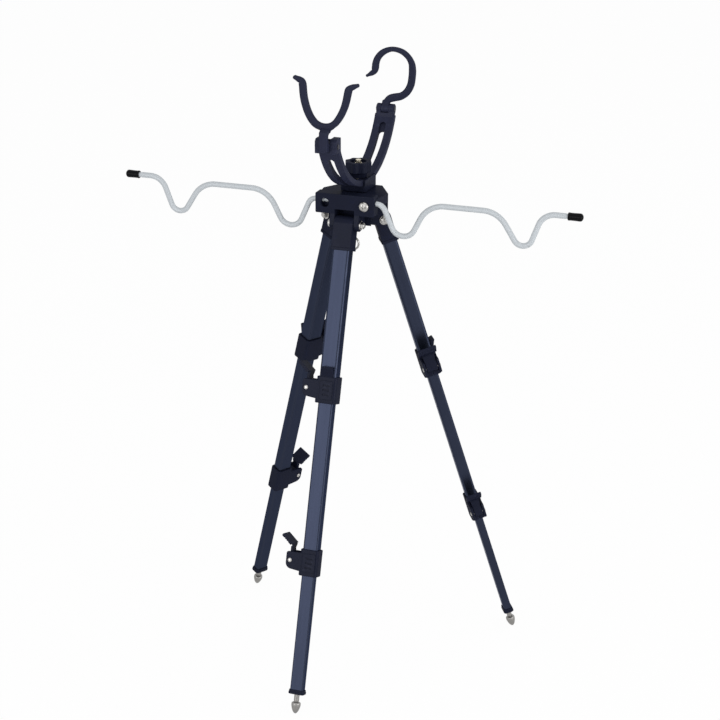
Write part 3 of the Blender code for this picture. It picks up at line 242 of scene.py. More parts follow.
# The plane of an outline: where its x and y run, and along which axis it is thick
SIDE = Matrix(((0, 0, 1, 0), (1, 0, 0, 0), (0, 1, 0, 0), (0, 0, 0, 1)))  # y and z, thick along x
FACE = Matrix(((1, 0, 0, 0), (0, 0, -1, 0), (0, 1, 0, 0), (0, 0, 0, 1)))  # x and z, thick along y
LAY = {
    "X": Matrix.Rotation(math.pi / 2, 4, "Y"),
    "-X": Matrix.Rotation(-math.pi / 2, 4, "Y"),
    "-Y": Matrix.Rotation(math.pi / 2, 4, "X"),
    "Z": Matrix.Identity(4),
}


def baked(holder):
    """The mesh that an object's curve or modifiers make. The object is then removed."""
    bpy.context.scene.collection.objects.link(holder)
    graph = bpy.context.evaluated_depsgraph_get()
    mesh = bpy.data.meshes.new_from_object(holder.evaluated_get(graph))
    bpy.data.objects.remove(holder)
    mesh.materials.clear()
    return mesh


def meshed(shape, name):
    """The mesh that an edited shape makes. The shape is then freed."""
    mesh = bpy.data.meshes.new(name)
    shape.to_mesh(mesh)
    shape.free()
    return mesh


def strung(curve, points, closed):
    """Adds a spline of straight runs through some points to a curve, and gives back its points."""
    spline = curve.splines.new("POLY")
    spline.points.add(len(points) - 1)
    for knot, point in zip(spline.points, points):
        knot.co = (*point, 1)
    spline.use_cyclic_u = closed
    return spline.points


def skinned(curve):
    """The shape that a curve makes, with its doubled points merged and its faces turned outwards."""
    shape = bmesh.new()
    shape.from_mesh(baked(bpy.data.objects.new("curve", curve)))
    bmesh.ops.remove_doubles(shape, verts=shape.verts, dist=WELD)
    bmesh.ops.recalc_face_normals(shape, faces=shape.faces)
    return shape


def plate(outlines, thickness, turn=None):
    """A flat outline, with any holes, given a thickness. turn lays its XY plane in another one."""
    curve = bpy.data.curves.new("outline", "CURVE")
    curve.dimensions = "2D"
    curve.fill_mode = "BOTH"
    curve.extrude = thickness / 2
    for outline in outlines:
        strung(curve, [(x, y, 0) for x, y in outline], True)
    shape = skinned(curve)
    bmesh.ops.dissolve_limit(shape, angle_limit=1e-3, verts=shape.verts, edges=shape.edges)
    mesh = meshed(shape, "plate")
    if turn is not None:
        mesh.transform(turn)
    return mesh


def block(size, centre=(0, 0, 0)):
    shape = bmesh.new()
    bmesh.ops.create_cube(shape, size=1)
    bmesh.ops.scale(shape, vec=size, verts=shape.verts)
    bmesh.ops.translate(shape, vec=centre, verts=shape.verts)
    return meshed(shape, "block")


def turned(profile, axis="Z", sides=48):
    """A turned shape. The profile is (radius, height); one that doesn't start on the axis makes a ring."""
    shape = bmesh.new()
    points = [shape.verts.new((r, 0, z)) for r, z in profile]
    lines = [shape.edges.new(pair) for pair in zip(points, points[1:])]
    if profile[0][0] > 0:
        lines.append(shape.edges.new((points[-1], points[0])))
    around = {"cent": (0, 0, 0), "axis": (0, 0, 1), "angle": 2 * math.pi}
    bmesh.ops.spin(shape, geom=points + lines, steps=sides, use_merge=True, **around)
    bmesh.ops.remove_doubles(shape, verts=shape.verts, dist=WELD)
    bmesh.ops.recalc_face_normals(shape, faces=shape.faces)
    mesh = meshed(shape, "turned")
    mesh.transform(LAY[axis])
    return mesh


def rod(radius, length, axis="Z", centre=(0, 0, 0), sides=32):
    profile = [(0, length / 2), (radius, length / 2), (radius, -length / 2), (0, -length / 2)]
    return moved(turned(profile, axis, sides), centre)


def moved(mesh, offset=(0, 0, 0), turn=None):
    copy = mesh.copy()
    if turn is not None:
        copy.transform(turn)
    copy.transform(Matrix.Translation(offset))
    return copy


def combine(base, joined=(), cut=(), common=()):
    """One solid: base with some meshes joined on, others cut away, and what it shares with the last ones."""
    holder = bpy.data.objects.new("work", base)
    tools = []
    for operation, meshes in (("UNION", joined), ("DIFFERENCE", cut), ("INTERSECT", common)):
        for mesh in meshes:
            tool = bpy.data.objects.new("tool", mesh)
            tools.append(tool)
            modifier = holder.modifiers.new(operation.title(), "BOOLEAN")
            modifier.operation = operation
            modifier.solver = "EXACT"
            modifier.object = tool
    made = baked(holder)
    for tool in tools:
        bpy.data.objects.remove(tool)
    return made


def shaded(mesh, sharp=48):
    """Smooth shading that keeps flat faces flat and edges over the sharp angle crisp."""
    mesh.shade_smooth()
    mesh.set_sharp_from_angle(angle=math.radians(sharp))
    holder = bpy.data.objects.new("shaded", mesh)
    shading = holder.modifiers.new("Shading", "WEIGHTED_NORMAL")
    shading.keep_sharp = True
    return baked(holder)


def soften(mesh, width, segments=3, angle=40):
    """Rounds the edges of a simple solid."""
    holder = bpy.data.objects.new("soften", mesh)
    edges = holder.modifiers.new("Edges", "BEVEL")
    edges.width = width
    edges.segments = segments
    edges.limit_method = "ANGLE"
    edges.angle_limit = math.radians(angle)
    edges.miter_outer = "MITER_ARC"
    return baked(holder)


def spread(path, stops):
    """A width at each point of a path, from (share of its length, width) stops."""
    lengths = [0.0]
    for first, second in zip(path, path[1:]):
        lengths.append(lengths[-1] + math.dist(first, second))
    widths = []
    for length in lengths:
        share = length / lengths[-1]
        for (low, first), (high, second) in zip(stops, stops[1:]):
            if share <= high + 1e-9:
                turn = (1 - math.cos(math.pi * (share - low) / (high - low))) / 2
                widths.append(first + (second - first) * turn)
                break
    return widths


def moulded_bar(path, stops, thickness, corner):
    """A bar with rounded edges and ends that follows points in X and Z, as wide as the stops say."""
    widths = spread(path, stops)
    places = [Vector((x, 0, z)) for x, z in path]
    rings = []
    for k, here in enumerate(places):
        before = places[max(k - 1, 0)]
        after = places[min(k + 1, len(places) - 1)]
        along = ((here - before).normalized() + (after - here).normalized()).normalized()
        rings.append((here, along, widths[k], 0.0))
    for end, sign in ((0, -1), (-1, 1)):
        here, along, width, _ = rings[end]
        reach = 0.42 * min(width, thickness)
        extra = []
        for share in (0.32, 0.64, 0.9):
            turn = share * math.pi / 2
            place = here + along * sign * reach * math.sin(turn)
            extra.append((place, along, width, reach * (1 - math.cos(turn))))
        rings = extra[::-1] + rings if end == 0 else rings + extra
    shape = bmesh.new()
    loops = []
    for here, along, width, inset in rings:
        square = Vector((-along.z, 0, along.x))
        wide, thick = width - 2 * inset, thickness - 2 * inset
        radius = max(0.0002, min(corner, 0.49 * wide, 0.49 * thick) - inset * 0.6)
        outline = rounded_rectangle(wide, thick, radius, 5)
        loops.append([shape.verts.new(here + square * u + Vector((0, v, 0))) for u, v in outline])
    for first, second in zip(loops, loops[1:]):
        for k in range(len(first)):
            j = (k + 1) % len(first)
            shape.faces.new((first[k], first[j], second[j], second[k]))
    shape.faces.new(loops[0][::-1])
    shape.faces.new(loops[-1])
    bmesh.ops.recalc_face_normals(shape, faces=shape.faces)
    return meshed(shape, "bar")


def curve_value(a, b, c, d, share):
    """Where a smooth curve through four values is, at a share of the way from b to c."""
    cubic = 3 * b - a - 3 * c + d
    square = 2 * a - 5 * b + 4 * c - d
    return (cubic * share**3 + square * share**2 + (c - a) * share + 2 * b) / 2


def flowing(points, steps=6):
    """A smooth curve through the points, which are in millimetres."""
    points = [(x / 1000, z / 1000) for x, z in points]
    ends = [points[0], *points, points[-1]]
    curve = [points[0]]
    for four in zip(ends, ends[1:], ends[2:], ends[3:]):
        for k in range(1, steps + 1):
            curve.append(tuple(curve_value(*part, k / steps) for part in zip(*four)))
    return curve


def swept(path, radius, sides=20, gains=()):
    """A round bar that follows points in space, thicker by the gain given at each."""
    curve = bpy.data.curves.new("swept", "CURVE")
    curve.dimensions = "3D"
    curve.bevel_depth = radius
    curve.bevel_resolution = sides // 4
    curve.use_fill_caps = True
    points = strung(curve, path, False)
    for point, gain in zip(points, gains):
        point.radius = gain
    mesh = meshed(skinned(curve), "swept")
    mesh.shade_smooth()
    mesh.set_sharp_from_angle(angle=math.radians(50))
    return mesh


def cross_recess(reach, width, depth, height):
    """The cutters for a cross slot in a screw head whose top is at this height."""
    floor, rim = height - depth, height - depth * 0.25
    outline = [(-reach, height + SPARE), (-reach, rim), (-width, floor)]
    outline += [(width, floor), (reach, rim), (reach, height + SPARE)]
    bar = plate([outline], width, FACE)
    return [moved(bar, turn=Matrix.Rotation(turn, 4, "Z")) for turn in (0, math.pi / 2)]


def placed(name, data):
    """A new object in the scene that shows a mesh, lamp or camera."""
    holder = bpy.data.objects.new(name, data)
    bpy.context.scene.collection.objects.link(holder)
    return holder


def dress(name, mesh, matrix, node, finished):
    """Puts a piece where a node of the frame is, with a material, to stand for that node."""
    material, slot = finished
    piece = placed(name, mesh)
    piece.matrix_world = matrix
    if not mesh.materials:
        mesh.materials.append(material)
    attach(piece, frame["nodes"][node]["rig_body"])
    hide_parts(node)


# Finishes


class Value:
    """A shader socket that can be used in a Python expression. Each operator adds one Math node."""

    def __init__(self, recipe, socket):
        self.recipe = recipe
        self.socket = socket

    def math(self, operation, *others, clamp=False):
        return self.recipe.node("ShaderNodeMath", {"operation": operation, "use_clamp": clamp}, *others)

    def __add__(self, other):
        return self.math("ADD", self, other)

    __radd__ = __add__

    def __sub__(self, other):
        return self.math("SUBTRACT", self, other)

    def __rsub__(self, other):
        return self.math("SUBTRACT", other, self)

    def __mul__(self, other):
        return self.math("MULTIPLY", self, other)

    __rmul__ = __mul__

    def larger(self, other):
        return self.math("MAXIMUM", self, other)

    def above(self, level, softness):
        """0 below the level, rising to 1 over the softness."""
        return self.math("MULTIPLY_ADD", self, 1 / softness, -level / softness, clamp=True)


class Recipe:
    """The nodes of one material or world. Its parts are written as expressions and end in a shader."""

    def __init__(self, owner):
        owner.use_nodes = True
        self.owner = owner
        self.tree = owner.node_tree
        self.tree.nodes.clear()

    @cached_property
    def place(self):
        """The object's own coordinates, in metres."""
        return self.node("ShaderNodeTexCoord", output="Object")

    def node(self, kind, settings=None, *values, output=None, **named):
        """Adds a node: its settings first, then its sockets in order or by name. Gives back one output."""
        made = self.tree.nodes.new(kind)
        for setting, value in (settings or {}).items():
            setattr(made, setting, value)
        shown = [socket for socket in made.inputs if socket.enabled]
        for socket, value in zip(shown, values):
            self.feed(socket, value)
        for key, value in named.items():
            label = key.replace("_", " ").title().replace("Ior", "IOR")
            self.feed(next(socket for socket in shown if socket.name == label), value)
        outputs = [socket for socket in made.outputs if socket.enabled and output in (None, socket.name)]
        return Value(self, outputs[0]) if outputs else None

    def feed(self, socket, value):
        if isinstance(value, Value):
            self.tree.links.new(value.socket, socket)
        else:
            socket.default_value = value

    def stretched(self, x, y, z):
        """The object's own coordinates, stretched along its axes."""
        return self.node("ShaderNodeVectorMath", {"operation": "MULTIPLY"}, self.place, (x, y, z))

    def clouds(self, scale, detail=2.0, roughness=0.5, place=None):
        """Noise between about 0.3 and 0.7, at so many waves per metre."""
        sockets = {"Vector": place or self.place, "Scale": scale, "Detail": detail, "Roughness": roughness}
        return self.node("ShaderNodeTexNoise", None, **sockets)

    def sharp_edges(self):
        """Above a half on outer edges and below it in inner corners."""
        return self.node("ShaderNodeNewGeometry", output="Pointiness")

    def blend(self, share, first, second):
        """A colour between two others."""
        return self.node("ShaderNodeMix", {"data_type": "RGBA"}, share, first, second)

    def relief(self, height, strength, depth):
        return self.node("ShaderNodeBump", None, Strength=strength, Distance=depth, Height=height)

    def principled(self, **sockets):
        return self.node("ShaderNodeBsdfPrincipled", None, **sockets)

    def ended(self, shader, kind="Material"):
        """Ends the recipe in a shader, and gives back the material or world."""
        self.node(f"ShaderNodeOutput{kind}", None, Surface=shader)
        return self.owner

    def finish(self, **sockets):
        """Ends the recipe in a Principled shader."""
        return self.ended(self.principled(**sockets))


def rgb(color, gain=1.0):
    return (color[0] * gain, color[1] * gain, color[2] * gain, 1.0)


def moulded_black(name, tone, roughness=0.46):
    """Glass-filled nylon: a fine spark-eroded grain, slight flow marks, polished edges and a little dust."""
    made = Recipe(bpy.data.materials.new(name))
    flow = made.clouds(38, 3, 0.6)
    marks = made.clouds(420, 2, 0.55)
    grit = made.clouds(3300, 2, 0.6)
    rubbed = made.sharp_edges().above(0.53, 0.12) * marks.above(0.42, 0.2)
    dusty = made.clouds(150, 4, 0.7).above(0.54, 0.14) * flow.above(0.45, 0.2)
    color = made.blend(flow, rgb(tone, 0.88), rgb(tone, 1.14))
    color = made.blend(rubbed * 0.22, color, rgb(tone, 2.6))
    color = made.blend(dusty * 0.12, color, rgb(tone, 3.2))
    rough = roughness - 0.07 + marks * 0.14 - rubbed * 0.05 + dusty * 0.1
    return made.finish(
        Base_Color=color,
        Roughness=rough,
        Normal=made.relief(grit * 0.7 + marks * 0.5, 0.14, 0.00012),
        Specular_Ior_Level=0.0,
        Coat_Weight=0.10 + rubbed * 0.05 - dusty * 0.05,
        Coat_Roughness=0.30,
    )


def anodised_tube(name, tone):
    """Drawn aluminium, anodised slate blue: long drawing lines, faint clouding and lengthwise rubs."""
    made = Recipe(bpy.data.materials.new(name))
    lines = made.clouds(1, 3, 0.65, made.stretched(1500, 1500, 7))
    broad = made.clouds(1, 2, 0.5, made.stretched(240, 240, 11))
    haze = made.clouds(34, 3, 0.6)
    rubs = made.clouds(1, 2, 0.7, made.stretched(2600, 2600, 16)).above(0.68, 0.1)
    rubs = rubs * haze.above(0.5, 0.16)
    edges = made.sharp_edges().above(0.56, 0.1) * haze.above(0.4, 0.2)
    color = made.blend(haze * 0.5 + broad * 0.5, rgb(tone, 0.84), rgb(tone, 1.18))
    color = made.blend(rubs * 0.22 + edges * 0.12, color, (0.16, 0.18, 0.24, 1))
    rough = 0.24 + lines * 0.12 + haze * 0.06 + rubs * 0.08
    return made.finish(
        Base_Color=color,
        Roughness=rough,
        Metallic=0.92,
        Normal=made.relief(lines, 0.1, 0.00006),
        Specular_Ior_Level=0.2,
        Specular_Tint=(0.40, 0.42, 0.50, 1.0),
    )


def coated_wire(name, tone):
    """Steel wire under a pale silver powder coat, with orange peel and a few rubs from rods in its dips."""
    made = Recipe(bpy.data.materials.new(name))
    peel = made.clouds(900, 2, 0.5)
    shade = made.clouds(28, 3, 0.6)
    specks = made.clouds(1700, 1, 0.5).above(0.74, 0.05)
    height = made.node("ShaderNodeSeparateXYZ", None, made.place, output="Z")
    low = (height * -1).above(0.016, 0.012)
    rubbed = low * made.clouds(210, 3, 0.7).above(0.56, 0.1)
    color = made.blend(shade, rgb(tone, 0.94), rgb(tone, 1.05))
    color = made.blend(rubbed * 0.2 + specks * 0.08, color, (0.24, 0.25, 0.26, 1))
    return made.finish(
        Base_Color=color,
        Roughness=0.40 + peel * 0.08 - rubbed * 0.08,
        Metallic=rubbed * 0.4 + 0.1,
        Normal=made.relief(peel, 0.04, 0.00004),
        Specular_Ior_Level=0.2,
    )


def dipped_vinyl(name, tone):
    """Glossy black vinyl: slow ripples from dipping and a little dust."""
    made = Recipe(bpy.data.materials.new(name))
    ripple = made.clouds(1, 2, 0.4, made.stretched(520, 260, 260))
    dust = made.clouds(2400, 2, 0.6).above(0.63, 0.1)
    color = made.blend(dust * 0.2, rgb(tone), (0.07, 0.07, 0.075, 1))
    return made.finish(
        Base_Color=color,
        Roughness=0.16 + ripple * 0.08 + dust * 0.2,
        Normal=made.relief(ripple, 0.15, 0.0002),
        Specular_Ior_Level=0.05,
    )


def plated_steel(name, tone, roughness=0.2):
    """Plated metal: a fine turned grain, a duller film where fingers reach it, and painted shade darkening
    its inner corners.
    """
    made = Recipe(bpy.data.materials.new(name))
    grain = made.clouds(4200, 2, 0.6)
    film = made.clouds(310, 3, 0.65)
    # Painted shade: inner corners darkened towards a quarter of the tone, and made rougher
    corners = (1 - made.sharp_edges()).above(0.53, 0.1)
    color = made.blend(film, rgb(tone, 0.82), rgb(tone, 1.12))
    color = made.blend(corners * 0.55, color, rgb(tone, 0.25))
    return made.finish(
        Base_Color=color,
        Roughness=roughness + film * 0.2 + corners * 0.15,
        Metallic=1.0,
        Normal=made.relief(grain, 0.12, 0.00005),
    )


def plain_grey(name, tone):
    """The guide plugs inside the tubes: unpainted grey nylon, scuffed lengthwise."""
    made = Recipe(bpy.data.materials.new(name))
    scuffs = made.clouds(1, 3, 0.6, made.stretched(1300, 1300, 60))
    color = made.blend(scuffs, rgb(tone, 0.8), rgb(tone, 1.2))
    return made.finish(
        Base_Color=color,
        Roughness=0.5 + scuffs * 0.2,
        Normal=made.relief(scuffs, 0.15, 0.0001),
    )


FINISHES = {}


def finish(slot, variant=""):
    """A material for one of the record's slots, made once from the colours in the sidebar, and that slot."""
    colors = bpy.context.scene.tripod_colours
    makers = {
        ("black_plastic", ""): lambda: moulded_black("moulded_black", colors.plastic),
        # The bow and rests use a lighter copy of the black plastic: painted light for the extra light that
        # falls on them, with a satin finish
        ("black_plastic", "satin_painted_lighter"): lambda: moulded_black("satin_black", colors.rests, 0.4),
        ("blue_anodised", ""): lambda: anodised_tube("anodised_slate", colors.tube),
        ("white_wire", ""): lambda: coated_wire("silver_coat", colors.wire),
        ("nickel_steel", ""): lambda: plated_steel("bright_nickel", colors.nickel),
        ("nickel_steel", "dark"): lambda: plated_steel("blackened_steel", colors.dark_steel, 0.34),
        # A darker, rougher copy of the nickel, for the spikes
        ("nickel_steel", "darker_rougher"): lambda: plated_steel("worn_nickel", rgb(colors.nickel, 0.6), 0.3),
        ("brass", ""): lambda: plated_steel("pale_brass", colors.brass, 0.26),
        ("soft_cap", ""): lambda: dipped_vinyl("dipped_vinyl", colors.vinyl),
        ("grey_bush", ""): lambda: plain_grey("grey_nylon", colors.bush),
    }
    key = (slot, variant)
    if key not in FINISHES:
        FINISHES[key] = (makers[key](), slot)
    return FINISHES[key]


# Settings


def number(name, description, default, **limits):
    return FloatProperty(name=name, description=description, default=default, **limits)


def colour(name, description, default):
    kind = {"subtype": "COLOR", "size": 3, "min": 0, "max": 1}
    return FloatVectorProperty(name=name, description=description, default=default, **kind)


def edge(name, pieces, default, most=0.001):
    return number(name, f"Radius on the edges of {pieces}", default, unit="LENGTH", min=0.00005, max=most)


def lamp(name, place, default):
    return number(name, f"Power of the soft light {place}", default, unit="POWER", min=0)


class TripodColours(bpy.types.PropertyGroup):
    plastic: colour("Plastic", "Head, locks, feet, saddle and knob", (0.0090, 0.0108, 0.0226))
    # Painted light: the bow and rests are toned lighter than the plastic for the extra light that falls on
    # them
    rests: colour("Bow and rests", "The bow and the two rod rests", (0.0185, 0.0208, 0.0405))
    tube: colour("Tube", "Anodised leg tubes", (0.0260, 0.0315, 0.0530))
    wire: colour("Wire", "Coating of the two wire arms", (0.470, 0.500, 0.525))
    nickel: colour("Nickel", "Screws, lock pins, weight hook and spikes", (0.44, 0.43, 0.415))
    dark_steel: colour("Dark steel", "Hinge pins of the rod rests", (0.045, 0.045, 0.055))
    brass: colour("Brass", "Bolt and nut of the clamp knob", (0.62, 0.575, 0.46))
    vinyl: colour("Vinyl", "Caps on the wires' ends", (0.004, 0.004, 0.005))
    bush: colour("Guide plugs", "Guide plugs inside the tubes", (0.20, 0.20, 0.21))


class TripodEdges(bpy.types.PropertyGroup):
    head: edge("Head", "the head block and the saddle", 0.0006)
    cap: edge("Leg caps", "the leg caps", 0.0005)
    lock: edge("Locks", "the flip locks and the feet", 0.0007)
    rest: edge("Rod rests", "the cradle and the hook", 0.0019, 0.0025)
    bow: edge("Bow", "the slotted bow and the knob", 0.0006)
    metal: edge("Metal", "bolt heads and nuts", 0.00018, 0.0004)
    turned_sides: IntProperty(
        name="Turned sides", description="How many sides a turned piece has", min=16, max=96, default=40
    )


class TripodStage(bpy.types.PropertyGroup):
    key_power: lamp("Key light", "in front on the left", 24)
    top_power: lamp("Top light", "above", 7)
    rim_power: lamp("Rear light", "behind on the right", 5)
    side_power: lamp("Side light", "on the right", 20)
    ambient: number("Ambient", "Strength of the light from all round", 0.62, min=0, max=2)
    camera_azimuth: number(
        "Azimuth", "The angle from the front leg to the camera", math.radians(20.18), subtype="ANGLE"
    )
    camera_distance: number("Distance", "The camera's distance from the head's axis", 2.035, unit="LENGTH")
    camera_height: number("Height", "The camera's height above the ground", 1.057, unit="LENGTH")
    camera_pitch: number("Pitch", "How far the camera looks down", math.radians(19.89), subtype="ANGLE")
    camera_lens: number("Lens", "The camera's focal length", 104.545, unit="CAMERA", min=20, max=300)
    camera_shift: number("Shift", "How far the picture is shifted sideways, as a share of its width", 0.0069)


# Legs


def tube_outline(stage, grow=0.0):
    width, depth, corner = TUBES[stage]
    return rounded_rectangle(width + 2 * grow, depth + 2 * grow, corner + grow)


def tube_span(stage):
    """How far below the pivot a tube starts and ends."""
    starts = (
        CAP_SOCKET_TOP + SEAT,
        LOCK_ENDS[0] - TUBE_OVERLAP - LOCK_HEIGHT + LOCK_STOP,
        LOCK_ENDS[1] - TUBE_OVERLAP - LOCK_HEIGHT + LOCK_STOP,
    )
    ends = (LOCK_ENDS[0] - LOCK_STOP, LOCK_ENDS[1] - LOCK_STOP, FOOT_TOP + FOOT_HEIGHT - FOOT_FLOOR - SEAT)
    return starts[stage], ends[stage]


def tube_mesh(stage):
    top, bottom = tube_span(stage)
    mesh = plate([tube_outline(stage), tube_outline(stage, -TUBE_WALL)], bottom - top)
    return shaded(soften(moved(mesh, (0, 0, -(top + bottom) / 2)), 0.0002, 2, 60))


def leg_cap_mesh(rounding):
    """The moulded cap on a leg: a heel that stops it, a socket for the tube and a lip round its mouth."""
    half = CAP_HALF_DEPTH
    outline = [(half, -CAP_LENGTH), (half, half), *arc((0, 0), half, math.pi / 2, math.pi, 18)]
    outline += [(-half, -CAP_LENGTH)]
    body = soften(plate([outline[::-1]], 2 * CAP_HALF_WIDTH, SIDE), rounding)
    lip_height = 0.003
    proud = 0.0012
    flare = rounded_rectangle(2 * CAP_HALF_WIDTH + proud, 2 * half + proud, 0.0015)
    lip = moved(soften(plate([flare], lip_height), 0.0004), (0, 0, -CAP_LENGTH + lip_height / 2))
    depth = CAP_LENGTH - CAP_SOCKET_TOP + SPARE
    socket = moved(plate([tube_outline(0, SEAT)], depth), (0, 0, -CAP_SOCKET_TOP - depth / 2))
    bore = rod(BOLT_RADIUS + RUN, 0.03, "X")
    return shaded(combine(body, joined=[lip], cut=[socket, bore]))


def hex_block(radius, height, rounding):
    """A hexagonal nut or head whose corners are turned off at both ends."""
    body = plate([circle(radius, 6)], height)
    past = 0.0001
    turned_off = radius * 0.93
    drop = (radius - turned_off) * 0.62
    half = [(0, height / 2 + past), (turned_off, height / 2 + past), (radius + past, height / 2 - drop)]
    inside = turned(half + [(r, -z) for r, z in half[::-1]])
    return combine(soften(body, rounding, 2), common=[inside])


def pivot_bolt_mesh(rounding, sides):
    """Pan-head screw with a cross slot, its washers and its nut. It lies along X, with its head to -X."""
    face = EAR_OUTER + SEAT
    out = face + 0.0009
    head, washer = 0.0041, 0.0048
    bevel, chamfer = 0.0002, 0.0004
    top = out + 0.0024
    end = -out - 0.0038
    profile = [(0, top), *dome(head, out + 0.0004, 0.0020, PAN_HEAD)]
    profile += [(head, out + 0.0004), (head, out), (washer - bevel, out), (washer, out - bevel)]
    profile += [(washer, face), (BOLT_RADIUS, face), (BOLT_RADIUS, -face), (washer, -face)]
    profile += [(washer, -out + bevel), (washer - bevel, -out), (BOLT_RADIUS, -out)]
    profile += [(BOLT_RADIUS, end + chamfer), (BOLT_RADIUS - chamfer, end), (0, end)]
    screw = combine(turned(profile, sides=sides), cut=cross_recess(0.0027, 0.0009, 0.0014, top))
    nut = moved(hex_block(0.0037, 0.0028, rounding), (0, 0, -out - 0.00135))
    return moved(shaded(combine(screw, joined=[nut]), 35), turn=LAY["-X"])


def foot_mesh(rounding):
    """The moulded plug on a leg's lower end, with a lip round its foot and a bore for the spike."""
    proud = SEAT + 0.0008
    lip_height = 0.0028
    socket_depth = 0.0035
    body = moved(soften(plate([tube_outline(2, proud)], FOOT_HEIGHT), rounding), (0, 0, -FOOT_HEIGHT / 2))
    lip = soften(plate([tube_outline(2, proud + 0.0004)], lip_height), 0.0007)
    lip = moved(lip, (0, 0, -FOOT_HEIGHT + lip_height / 2))
    socket = plate([tube_outline(2, SEAT)], socket_depth)
    socket = moved(socket, (0, 0, -FOOT_HEIGHT + FOOT_FLOOR + socket_depth / 2))
    return shaded(combine(body, joined=[lip], cut=[socket, rod(0.0022, 0.03)]))


def spike_mesh(sides):
    """Screw-in ground spike, with thread rings above its shoulder and a blunt cone below."""
    length = LEG_LENGTH - FOOT_TOP - FOOT_HEIGHT
    cone_top = -length + 0.0116
    crest = 0.0020
    profile = [(0, 0.0076), (0.0015, 0.0076), *thread(crest, 0.0017, 0.0070, 0.0008, 9)]
    profile += [(crest, -SEAT), (0.0027, -SEAT)]
    neck = ((0.0027, -0.0014), (0.0024, -0.0010), (0.0024, -0.0004), (0.0036, -0.0001), (0.0044, 0.0004))
    cone = ((0.0047, 0.0012), (0.0048, 0.0024), (0.0046, 0.0040), (0.0041, 0.0060), (0.0034, 0.0080))
    profile += [(r, cone_top - down) for r, down in (*neck, *cone, (0.0026, 0.0096))]
    tip = 0.0019
    profile += [(tip * math.cos(a), -length + tip * (1 - math.sin(a)) * 0.8) for a in (0.45, 0.8, 1.1, 1.35)]
    profile += [(0, -length)]
    return shaded(turned(profile, sides=sides), 42)


# Flip locks


def lock_sizes(stage):
    """Half width and half depth of a lock, and how far to -X its lever's pin is."""
    width, depth, _ = TUBES[stage]
    return width / 2 + LOCK_WALL, depth / 2 + LOCK_WALL, -(width / 2 + LOCK_PIN_OUT)


def lock_mesh(stage, rounding):
    """The split collar at a tube's end, with a gripped panel and its lever's ears. Its top is at z = 0."""
    half_width, half_depth, pin_x = lock_sizes(stage)
    middle = -LOCK_HEIGHT / 2
    front = -half_depth
    corner = 0.0032
    body = plate([rounded_rectangle(2 * half_width, 2 * half_depth, corner)], LOCK_HEIGHT)
    body = moved(soften(body, rounding), (0, 0, middle))
    root = -half_width + corner
    reach = pin_x - 0.0042
    corners = [(root, 0.0088, 0), (reach, 0.0088, 0.0022), (reach, -0.0080, 0.0060), (root, -0.0102, 0)]
    ear = [(x, z - LOCK_PIN_DOWN) for x, z in rounded_path(corners, 6)]
    ear = soften(plate([ear], LOCK_EAR - 0.0004, FACE), rounding * 0.7, 2)
    ear_y = half_depth - LOCK_EAR / 2
    raised = 0.0007
    panel_x = 0.0006
    panel = soften(plate([rounded_rectangle(0.0135, 0.0188, 0.0018)], raised + 0.0010, FACE), 0.0003, 2)
    joined = [moved(ear, (0, -ear_y, 0)), moved(ear, (0, ear_y, 0))]
    joined.append(moved(panel, (panel_x, front + 0.00015, middle)))
    if stage == 0:
        inner = -(TUBES[0][1] / 2 + SEAT)
        tongue = [(inner, -0.004), (inner, 0.0091), (front - 0.0026, 0.0103), (front - 0.0036, 0.0094)]
        tongue += [(front + 0.0003, 0.0002), (front + 0.0003, -0.004)]
        joined.append(soften(plate([tongue], 0.0125, SIDE), 0.0005, 2, 30))
    upper = LOCK_HEIGHT - LOCK_STOP + SEAT
    past = 0.0005
    dish = half_depth + 0.0002
    cuts = [
        moved(plate([tube_outline(stage, SEAT)], upper + past), (0, 0, -(upper - past) / 2)),
        moved(plate([tube_outline(stage + 1, RUN)], LOCK_HEIGHT), (0, 0, middle - 0.002)),
        block((LOCK_WALL + 0.003, 0.0012, LOCK_HEIGHT + 2 * SPARE), (-half_width + 0.00045, 0, middle)),
        rod(LOCK_PIN_RADIUS + RUN, 2 * half_depth + 2 * SPARE, "-Y", (pin_x, 0, -LOCK_PIN_DOWN)),
        *(rod(0.0031, 0.0012, "-Y", (pin_x, y, -LOCK_PIN_DOWN)) for y in (-dish, dish)),
    ]
    groove = plate([rounded_rectangle(0.0072, 0.0019, 0.0006, 3)], 2 * raised, FACE)
    for k in (-1, 0, 1):
        cuts.append(moved(groove, (panel_x, front - raised, middle + 0.0047 * k)))
    return shaded(combine(body, joined=joined, cut=cuts))


